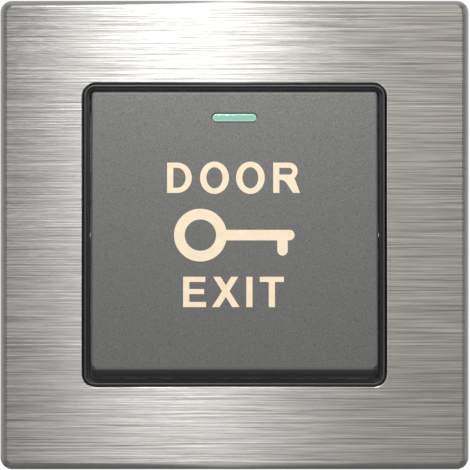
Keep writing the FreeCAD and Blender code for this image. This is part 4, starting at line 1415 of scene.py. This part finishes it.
@dataclass
class Marks:
    """Plain block capitals and a plain key, printed on the paddle. Places are measured from its middle."""

    cap: float = 5.55
    stem: float = 1.13
    bar: float = 0.95
    print_thick: float = 0.03
    upper_line: float = 7.71
    lower_line: float = -13.19
    key_middle: tuple[float, float] = (-6.23, -0.02)
    key_ring: float = 4.83
    key_hole: float = 2.87
    shaft_half: float = 0.96
    shaft_end: float = 11.0
    bit: tuple[float, float] = (7.84, 9.75)
    bit_end: float = -3.77

    def letter_d(self) -> list[Outline]:
        """Draw a stem with one wide bowl.

        Returns:
            The outlines to fill, of which an inner one is a hole.
        """
        wide, start = 4.52, 1.85
        half = self.cap / 2
        outer = [(0, 0), *arc((start, half), (wide - start, half), -90, 90), (0, self.cap)]
        inner = arc((start, half), (wide - start - self.stem, half - self.bar), -90, 90)
        return [outer, [(self.stem, self.bar), *inner, (self.stem, self.cap - self.bar)]]

    def letter_o(self, wide: float) -> list[Outline]:
        """Draw an oval with an oval hole, a little taller than the capitals.

        Args:
            wide: The letter's width.

        Returns:
            The outer and the inner outline.
        """
        over, wall, inner_over = 0.18, self.stem * 1.03, 0.108
        half = self.cap / 2
        inner = (wide / 2 - wall, half - self.bar + inner_over)
        both = ((wide / 2, half + over), inner)
        return [arc((wide / 2, half), radii, 0, 360, steps=64)[:-1] for radii in both]

    def letter_r(self) -> list[Outline]:
        """Draw a stem, a bowl and a leg that kicks out.

        Returns:
            The outlines to fill, of which an inner one is a hole.
        """
        bowl, right, leg, leg_left, leg_top = 1.57, 4.47, 4.90, 3.61, 2.38
        outer = [(0, 0), (0, self.cap), *arc((right - bowl, self.cap - bowl), (bowl, bowl), 90, -52),
                 (leg, 0), (leg_left, 0), (2.62, 1.55), (2.31, 1.95), (1.95, 2.27), (1.55, leg_top),
                 (self.stem, leg_top), (self.stem, 0)]
        hollow = bowl - self.bar
        inner = [(self.stem, self.cap - 2 * bowl + self.bar),
                 *arc((right - bowl, self.cap - bowl), (hollow, hollow), -90, 90),
                 (self.stem, self.cap - self.bar)]
        return [outer, inner]

    def letter_e(self) -> list[Outline]:
        """Draw a stem and three bars.

        Returns:
            The one outline to fill.
        """
        foot, middle, top, low, high = 4.21, 3.84, 4.06, 2.39, 3.31
        under = self.cap - self.bar
        return [[(0, 0), (foot, 0), (foot, self.bar), (self.stem, self.bar), (self.stem, low), (middle, low),
                 (middle, high), (self.stem, high), (self.stem, under), (top, under), (top, self.cap),
                 (0, self.cap)]]

    def letter_x(self) -> list[Outline]:
        """Draw two crossed strokes.

        Returns:
            The one outline to fill.
        """
        foot, head, waist, left, right = 5.07, 4.83, 2.92, 1.87, 3.23
        return [[(0, 0), (1.38, 0), (2.55, 1.89), (3.73, 0), (foot, 0), (right, waist), (head, self.cap),
                 (3.53, self.cap), (2.57, 3.99), (1.58, self.cap), (0.24, self.cap), (left, waist)]]

    def letter_i(self) -> list[Outline]:
        """One stem."""
        return [[(0, 0), (self.stem, 0), (self.stem, self.cap), (0, self.cap)]]

    def letter_t(self) -> list[Outline]:
        """Draw a stem under a bar.

        Returns:
            The one outline to fill.
        """
        wide = 4.42
        left = (wide - self.stem) / 2
        under = self.cap - self.bar
        return [[(left, 0), (left + self.stem, 0), (left + self.stem, under), (wide, under), (wide, self.cap),
                 (0, self.cap), (0, under), (left, under)]]

    def key(self) -> list[Outline]:
        """Draw a ring, a shaft with a round end and one bit.

        Returns:
            The outline of the key and that of its hole.
        """
        x, z = self.key_middle
        meet = math.degrees(math.asin(self.shaft_half / self.key_ring))
        ring = arc((x, z), (self.key_ring, self.key_ring), meet, 360 - meet, steps=72)
        half_bit = (self.bit[1] - self.bit[0]) / 2
        tooth = arc((self.bit[0] + half_bit, self.bit_end + half_bit), (half_bit, half_bit), 180, 360)
        end = arc((self.shaft_end - self.shaft_half, z), (self.shaft_half, self.shaft_half), -90, 90)
        outer = [*ring, (self.bit[0], z - self.shaft_half), *tooth, (self.bit[1], z - self.shaft_half), *end]
        return [outer, arc((x, z), (self.key_hole, self.key_hole), 0, 360, steps=64)[:-1]]

    def build(self, bench: Bench, slope: Slope) -> None:
        """Print both words and the key.

        Args:
            bench: The frame and the finishes.
            slope: The plane of the face.
        """
        upper = [(self.letter_d(), -12.33), (self.letter_o(5.29), -6.30), (self.letter_o(5.25), 0.29),
                 (self.letter_r(), 7.10)]
        lower = [(self.letter_e(), -9.39), (self.letter_x(), -4.13), (self.letter_i(), 2.17),
                 (self.letter_t(), 4.63)]
        self._print("upper_word", self._line(upper, self.upper_line), bench, slope)
        self._print("key_sign", self.key(), bench, slope)
        self._print("lower_word", self._line(lower, self.lower_line), bench, slope)

    @staticmethod
    def _line(letters: list[tuple[list[Outline], float]], foot: float) -> list[Outline]:
        """Set letters at their places on one line."""
        return [[(x + left, z + foot) for x, z in outline] for letter, left in letters for outline in letter]

    def _print(self, name: str, outlines: list[Outline], bench: Bench, slope: Slope) -> None:
        """Fill outlines, lay them on the sloped face and let them ride on the rocker.

        Args:
            name: The piece's name.
            outlines: The outlines, of which an inner one is a hole.
            bench: The frame and the finishes.
            slope: The plane of the face.
        """
        curve = bpy.data.curves.new(name, "CURVE")
        curve.dimensions = "2D"
        curve.fill_mode = "BOTH"
        curve.extrude = self.print_thick * MM
        for outline in outlines:
            spline = curve.splines.new("POLY")
            spline.points.add(len(outline) - 1)
            for point, (x, z) in zip(spline.points, outline):
                point.co = (x * MM, z * MM, 0, 1)
            spline.use_cyclic_u = True
        flat = bpy.data.objects.new(name + "_outline", curve)
        bpy.context.scene.collection.objects.link(flat)
        graph = bpy.context.evaluated_depsgraph_get()
        shape = bmesh.new()
        shape.from_mesh(bpy.data.meshes.new_from_object(flat.evaluated_get(graph)))
        bpy.data.objects.remove(flat)
        bmesh.ops.remove_doubles(shape, verts=shape.verts, dist=SAME_POINT * MM)
        for vert in shape.verts:
            x, z, proud = vert.co
            vert.co = (x, slope.y(z / MM) * MM - proud, z)
        bmesh.ops.recalc_face_normals(shape, faces=shape.faces)
        bench.fit(settle(into_object(name, shape)), "cream_print", Body.ROCKER.value)


@dataclass
class Indicator:
    """Domed light guide in the paddle's slot, with a flange and a stub behind the face."""

    height: float = 21.5
    half_length: float = 4.0
    half_height: float = 0.68
    flange: float = 0.8
    flange_thick: float = 0.8
    stub: float = 0.6
    face: float = 2.0
    stub_share: float = 0.9
    stub_corner: float = 0.1
    dome: float = 0.14
    dome_run: float = 1.4
    dome_steps: int = 6
    full_round: float = 0.999

    def build(self, bench: Bench, slope: Slope) -> None:
        """Loft the guide from its stub to its domed front, then lean it on the face.

        Args:
            bench: The frame and the finishes.
            slope: The plane of the face.
        """
        flange_back = self.face + self.flange_thick
        stub = (self.half_length - self.half_height, self.half_height * self.stub_share, self.stub_corner)
        rings = [Ring(*stub, flange_back + self.stub), Ring(*stub, flange_back),
                 self._outline(self.flange, flange_back), self._outline(self.flange, self.face),
                 self._outline(0.0, self.face)]
        for step in range(self.dome_steps + 1):
            angle = QUARTER * step / self.dome_steps
            rings.append(self._outline(-self.dome * self.dome_run * (1 - math.cos(angle)),
                                       self.dome * (1 - math.sin(angle))))
        piece = loft("mint_window", rings, Ends.CAPPED)
        lean = Matrix.Rotation(-math.atan(slope.rate), 4, "X")
        seat = Matrix.Translation(Vector((0, slope.y(self.height), self.height)) * MM)
        piece.data.transform(seat @ lean)
        bench.fit(settle(piece), "mint_lens", Body.ROCKER.value, "indicator_lens")

    def _outline(self, over: float, depth: float) -> Ring:
        """The guide's outline, wider by some amount, at a depth behind the face."""
        half_z = self.half_height + over
        return Ring(self.half_length + over, half_z, half_z * self.full_round, depth)


@dataclass
class Springs:
    """Round wire springs with closed ends."""

    return_radius: float = 2.25
    return_wire: float = 0.5
    return_front: float = 10.0
    return_seat: float = 2.6
    return_place: tuple[float, float] = (6.0, -15.0)
    return_turns: float = 6.5
    return_keep: float = 0.772
    plunger_radius: float = 1.05
    plunger_wire: float = 0.35
    plunger_start: float = 2.4
    plunger_length: float = 7.0
    plunger_turns: float = 9.5
    plunger_keep: float = 0.886
    lean: float = 2.75
    pivot: float = 5.0
    coil_points: int = 28
    wire_points: int = 10
    even_share: float = 0.15

    def build(self, bench: Bench) -> None:
        """Wind both kinds of spring.

        Args:
            bench: The frame and the finishes.
        """
        x, z = self.return_place
        sizes = {"Radius": self.return_radius * MM, "Wire": self.return_wire * MM / 2,
                 "Length": (self.return_front - self.return_seat) * MM, "Turns": self.return_turns,
                 **row_of((-x, -self.return_front, z), (2 * x, 0, 0), 2, -90)}
        piece = self._wind("paddle_springs", sizes, bench)
        bench.fit(piece, "spring_steel", Body.BASE.value, "return_springs")
        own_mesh(piece)
        lean = math.radians(self.lean)
        base = (0, -self.pivot - self.plunger_start * math.cos(lean), self.plunger_start * math.sin(lean))
        sizes = {"Radius": self.plunger_radius * MM, "Wire": self.plunger_wire * MM / 2,
                 "Length": self.plunger_length * MM, "Turns": self.plunger_turns,
                 **row_of(base, (0, 0, 0), 1, -90 - self.lean)}
        piece = self._wind("toggle_spring", sizes, bench)
        bench.fit(piece, "spring_steel", Body.ROCKER.value, "plunger_spring")
        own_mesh(piece)

    def _wind(self, name: str, sizes: dict, bench: Bench) -> bpy.types.Object:
        """Wind a coil whose pitch closes up at both ends, in a row of like coils.

        Args:
            name: The piece's name.
            sizes: The inputs of the coil and of its row.
            bench: The frame and the finishes.

        Returns:
            The coils as one object.
        """
        form = Former(name, sizes)
        radius, wire = form.size("Radius"), form.size("Wire")
        spiral = form.put("CurveSpiral", {"Resolution": self.coil_points, "Rotations": form.size("Turns"),
                                          "Start Radius": radius, "End Radius": radius, "Height": 0.0})
        along = form.put("SplineParameter").outputs["Factor"]
        eased = lay(form.tree, "ShaderNodeMapRange", {"Value": along}, interpolation_type="SMOOTHSTEP")
        mixed = form.sum("ADD", form.sum("MULTIPLY", along, self.even_share),
                         form.sum("MULTIPLY", eased.outputs[0], 1 - self.even_share))
        room = form.sum("SUBTRACT", form.size("Length"), form.sum("MULTIPLY", wire, 2.0))
        rise = form.sum("ADD", form.sum("MULTIPLY", mixed, room), wire)
        raised = form.put("SetPosition", {"Geometry": spiral.outputs[0], "Offset": form.way(Z=rise)})
        section = form.put("CurvePrimitiveCircle", {"Resolution": self.wire_points, "Radius": wire})
        coil = form.put("CurveToMesh", {"Curve": raised.outputs[0], "Profile Curve": section.outputs[0],
                                        "Fill Caps": True})
        return form.make(form.row(coil.outputs[0]), bench.finishes["spring_steel"])


@dataclass
class Fasteners:
    """Slotted terminal screws, slotted housing screws and the two rivets."""

    terminal: dict = field(default_factory=lambda: {
        "Head": 2.8 * MM, "Rise": 2.1 * MM, "Rim": 0.3 * MM, "Shank": 1.32 * MM, "Reach": 3.4 * MM,
        "Crest": 0.20 * MM, "Pitch": 0.55 * MM, "Slot": 0.8 * MM, "Depth": 1.0 * MM})
    housing: dict = field(default_factory=lambda: {
        "Head": 2.1 * MM, "Rise": 1.4 * MM, "Rim": 0.3 * MM, "Shank": 0.90 * MM, "Reach": 11.4 * MM,
        "Crest": 0.17 * MM, "Pitch": 0.75 * MM, "Slot": 0.55 * MM, "Depth": 0.7 * MM})
    rivet: dict = field(default_factory=lambda: {
        "Head": 1.9 * MM, "Rise": 0.6 * MM, "Shank": 1.15 * MM, "Reach": 2.6 * MM})
    clamp_back: float = 12.7
    case_back: float = 11.0
    flange_front: float = 2.6
    bay_pitch: float = 13.0
    screw_height: float = -9.6
    boss_place: tuple[float, float] = (18.4, 8.0)
    rivet_place: tuple[float, float] = (23.0, 22.3)
    tip: float = 0.3
    rim_rise: float = 0.55
    thread_run: float = 0.82
    thread_foot: float = 0.92
    thread_points: int = 18
    crest_points: int = 4
    rivet_rim: float = 0.2
    rivet_steps: int = 7

    def build(self, bench: Bench) -> None:
        """Make the three kinds of fastener.

        Args:
            bench: The frame and the finishes.
        """
        pitch = self.bay_pitch
        seats = row_of((-pitch, self.clamp_back, self.screw_height), (pitch, 0, 0), 3, -90)
        self._screws("wire_screws", {**self.terminal, **seats}, bench, "terminal_screws")
        x, z = self.boss_place
        seats = row_of((-x, self.case_back, z), (2 * x, 0, 0), 2, -90)
        self._screws("case_screws", {**self.housing, **seats}, bench, "housing_screws")
        x, z = self.rivet_place
        seats = row_of((-x, -self.flange_front, z), (2 * x, 0, -2 * z), 2, 90)
        self._rivets("frame_rivets", {**self.rivet, **seats}, bench)

    def _screws(self, name: str, sizes: dict, bench: Bench, node: str) -> None:
        """Turn a screw from its tip to its head, cut the slot and lay the thread round the shank.

        Args:
            name: The piece's name.
            sizes: The inputs of the screw and of its row.
            bench: The frame and the finishes.
            node: The node that the screws take the place of.
        """
        form = Former(name, sizes)
        head, shank, reach, rim = (form.size(title) for title in ("Head", "Shank", "Reach", "Rim"))
        below = form.sum("MULTIPLY", reach, -1.0)
        taper = form.sum("MULTIPLY", shank, self.tip)
        start = form.disc(form.sum("SUBTRACT", shank, taper), below)
        shape = form.grow(start, taper, 1 / (1 - self.tip))
        shape = form.grow(shape, form.sum("SUBTRACT", reach, taper), 1.0)
        shape = form.grow(shape, 0.0, form.sum("DIVIDE", head, shank))
        shape = form.grow(shape, form.sum("SUBTRACT", form.size("Rise"), rim), 1.0)
        narrow = form.sum("DIVIDE", form.sum("SUBTRACT", head, rim), head)
        shape = form.grow(shape, form.sum("MULTIPLY", rim, self.rim_rise), form.sum("SQRT", narrow, 0.0))
        shape = form.grow(shape, form.sum("MULTIPLY", rim, 1 - self.rim_rise), narrow)
        solid = form.close(shape, start[0])
        size = form.way(X=form.sum("MULTIPLY", head, 3.0), Y=form.size("Slot"),
                        Z=form.sum("MULTIPLY", form.size("Depth"), 2.0))
        cutter = form.put("MeshCube", {"Size": size})
        lift = form.way(Z=form.size("Rise"))
        placed = form.put("Transform", {"Geometry": cutter.outputs[0], "Translation": lift})
        slotted = form.put("MeshBoolean", {"Mesh 1": solid}, operation="DIFFERENCE")
        form.tree.links.new(placed.outputs[0], slotted.inputs["Mesh 2"])
        run = form.sum("MULTIPLY", reach, self.thread_run)
        turns = form.sum("DIVIDE", run, form.size("Pitch"))
        spiral = form.put("CurveSpiral", {"Resolution": self.thread_points, "Rotations": turns,
                                          "Start Radius": shank, "End Radius": shank, "Height": run})
        foot = form.way(Z=form.sum("MULTIPLY", reach, -self.thread_foot))
        lowered = form.put("Transform", {"Geometry": spiral.outputs[0], "Translation": foot})
        crest = form.put("CurvePrimitiveCircle", {"Resolution": self.crest_points,
                                                  "Radius": form.size("Crest")})
        thread = form.put("CurveToMesh", {"Curve": lowered.outputs[0], "Profile Curve": crest.outputs[0],
                                          "Fill Caps": True})
        whole = form.put("JoinGeometry")
        form.tree.links.new(slotted.outputs[0], whole.inputs[0])
        form.tree.links.new(thread.outputs[0], whole.inputs[0])
        piece = form.make(form.row(whole.outputs[0]), bench.finishes["screw_steel"])
        bench.fit(piece, "screw_steel", Body.BASE.value, node)

    def _rivets(self, name: str, sizes: dict, bench: Bench) -> None:
        """Turn a rivet from its flush tail to its domed head.

        Args:
            name: The piece's name.
            sizes: The inputs of the rivet and of its row.
            bench: The frame and the finishes.
        """
        form = Former(name, sizes)
        head, shank, reach = (form.size(title) for title in ("Head", "Shank", "Reach"))
        start = form.disc(shank, form.sum("MULTIPLY", reach, -1.0))
        shape = form.grow(start, reach, 1.0)
        shape = form.grow(shape, 0.0, form.sum("DIVIDE", head, shank))
        shape = form.grow(shape, form.sum("MULTIPLY", form.size("Rise"), self.rivet_rim), 1.0)
        dome = 1 - self.rivet_rim
        for step in range(self.rivet_steps):
            now, after = (QUARTER * turn / (self.rivet_steps + 0.5) for turn in (step, step + 1))
            rise = form.sum("MULTIPLY", form.size("Rise"), dome * (math.sin(after) - math.sin(now)))
            shape = form.grow(shape, rise, math.cos(after) / math.cos(now))
        solid = form.close(shape, start[0])
        piece = form.make(form.row(solid), bench.finishes["bright_steel"])
        bench.fit(piece, "bright_steel", Body.BASE.value, "bracket_rivets")


@dataclass
class Module:
    """Everything behind the paddle that keeps the frame's own form, with its edges eased."""

    easing: dict[str, tuple[str, float]] = field(default_factory=lambda: {
        "rocker_cradle": ("toggle_cradle", 0.15),
        "pivot_pins": ("hinge_pins", 0.12), "plunger": ("toggle_plunger", 0.10),
        "module_chassis": ("front_chassis", 0.18), "rubber_buffers": ("rubber_stops", 0.20),
        "indicator_board": ("lamp_board", 0.05), "indicator_led": ("lamp_chip", 0.12),
        "led_resistor": ("lamp_resistor", 0.06), "mounting_bracket": ("steel_bracket", 0.12),
        "module_case": ("rear_case", 0.22), "terminal_no": ("open_strip", 0.08),
        "terminal_nc": ("closed_strip", 0.08), "terminal_com": ("common_strip", 0.08),
        "fixed_contacts": ("silver_seats", 0.10), "contact_blade": ("rocking_blade", 0.08),
        "moving_contacts": ("silver_tips", 0.10), "terminal_clamps": ("wire_clamps", 0.10)})

    def build(self, bench: Bench) -> None:
        """Finish each of those nodes.

        Args:
            bench: The frame and the finishes.
        """
        for node, (name, width) in self.easing.items():
            bench.finish_node(node, name, width)


# Studio


@dataclass(frozen=True)
class Lamp:
    """A soft lamp, with its place and size in metres and its power in watts."""

    name: str
    place: tuple[float, float, float]
    wide: float
    high: float
    power: float
    tint: Colour = (1.0, 1.0, 1.0)

    def hang(self) -> None:
        """Hang the lamp so that it looks at the middle of the plate."""
        data = bpy.data.lights.new(self.name, "AREA")
        data.shape = "RECTANGLE"
        data.size = self.wide
        data.size_y = self.high
        data.energy = self.power
        data.color = self.tint
        lamp = bpy.data.objects.new(self.name, data)
        lamp.location = self.place
        lamp.rotation_euler = (-Vector(self.place)).to_track_quat("-Z", "Y").to_euler()
        lamp.visible_camera = False
        bpy.context.scene.collection.objects.link(lamp)


@dataclass
class Studio:
    """Camera, lamps, floor and surroundings, in metres but for the camera's sensor."""

    distance: float = 1.0
    frame_width: float = 0.08622
    aside: float = 0.0001
    plate_front: float = 0.009
    sensor: float = 36.0
    nearest: float = 0.01
    farthest: float = 10.0
    floor_drop: float = 0.0006
    floor_half: float = 1.5
    floor_rough: float = 0.7
    floor_drift: float = 6.0
    floor_dark: Colour = (0.40, 0.40, 0.40)
    floor_light: Colour = (0.44, 0.44, 0.44)
    surround: float = 1.0
    fill: float = 0.55
    lamps: tuple[Lamp, ...] = (
        Lamp("key_lamp", (-0.012, -0.26, 0.15), 0.025, 0.03, 0.50),
        Lamp("warm_lamp", (0.050, -0.26, 0.15), 0.04, 0.03, 0.10, (1.0, 0.94, 0.84)),
        Lamp("low_lamp", (0.0, -0.35, -0.12), 0.20, 0.015, 0.08),
    )

    def build(self, low: Vector) -> None:
        """Set up everything that isn't part of the button.

        Args:
            low: The button's lowest corner.
        """
        self._camera()
        self._floor(low.z - self.floor_drop)
        self._world()
        for lamp in self.lamps:
            lamp.hang()

    def _camera(self) -> None:
        """Straight in front, with the plate filling the frame."""
        data = bpy.data.cameras.new("front_camera")
        data.sensor_width = self.sensor
        data.lens = self.sensor * self.distance / self.frame_width
        data.clip_start = self.nearest
        data.clip_end = self.farthest
        camera = bpy.data.objects.new("front_camera", data)
        camera.location = (self.aside, -self.plate_front - self.distance, 0)
        camera.rotation_euler = (QUARTER, 0, 0)
        bpy.context.scene.collection.objects.link(camera)
        bpy.context.scene.camera = camera

    def _floor(self, height: float) -> None:
        """Lay a plain floor under the plate, in front of the wall's plane.

        Args:
            height: The floor's height.
        """
        shape = bmesh.new()
        bmesh.ops.create_grid(shape, x_segments=1, y_segments=1, size=self.floor_half)
        shape.transform(Matrix.Translation((0, -self.floor_half, height)))
        floor = into_object("floor", shape)
        surface = Surface("plain_floor", metallic=0.0, roughness=self.floor_rough)
        drift = lay(surface.tree, "ShaderNodeTexNoise", {"Vector": surface.place, "Scale": self.floor_drift})
        surface.colour(surface.blend(drift.outputs[0], self.floor_dark, self.floor_light))
        floor.data.materials.append(surface.material)
        floor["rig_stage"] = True

    def _world(self) -> None:
        """White to the eye and in reflections, and a plain fill for the rest."""
        world = bpy.data.worlds.new("studio_room")
        world.use_nodes = True
        tree = world.node_tree
        sky = next(node for node in tree.nodes if node.type == "BACKGROUND")
        sky.inputs["Color"].default_value = (1, 1, 1, 1)
        rays = lay(tree, "ShaderNodeLightPath")
        kinds = ("Camera", "Glossy", "Transmission")
        camera, glossy, clear = (rays.outputs[f"Is {kind} Ray"] for kind in kinds)
        either = lay(tree, "ShaderNodeMath", {0: camera, 1: glossy}, operation="ADD")
        seen = lay(tree, "ShaderNodeMath", {0: either.outputs[0], 1: clear}, operation="ADD", use_clamp=True)
        level = lay(tree, "ShaderNodeMapRange", {"Value": seen.outputs[0], "To Min": self.fill,
                                                 "To Max": self.surround})
        tree.links.new(level.outputs[0], sky.inputs["Strength"])
        bpy.context.scene.world = world


def main() -> None:
    """Build the button and its studio."""
    logging.basicConfig(level=logging.INFO, format="%(message)s")
    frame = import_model()
    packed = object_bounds()
    bpy.context.scene.view_settings.view_transform = "Standard"
    bench = Bench(frame)
    slope = Slope()
    SteelFace().build(bench)
    BlackTray().build(bench)
    Module().build(bench)
    Paddle().build(bench, slope)
    Marks().build(bench, slope)
    Indicator().build(bench, slope)
    Springs().build(bench)
    Fasteners().build(bench)
    Studio().build(packed[0])


if __name__ == "__main__":
    main()
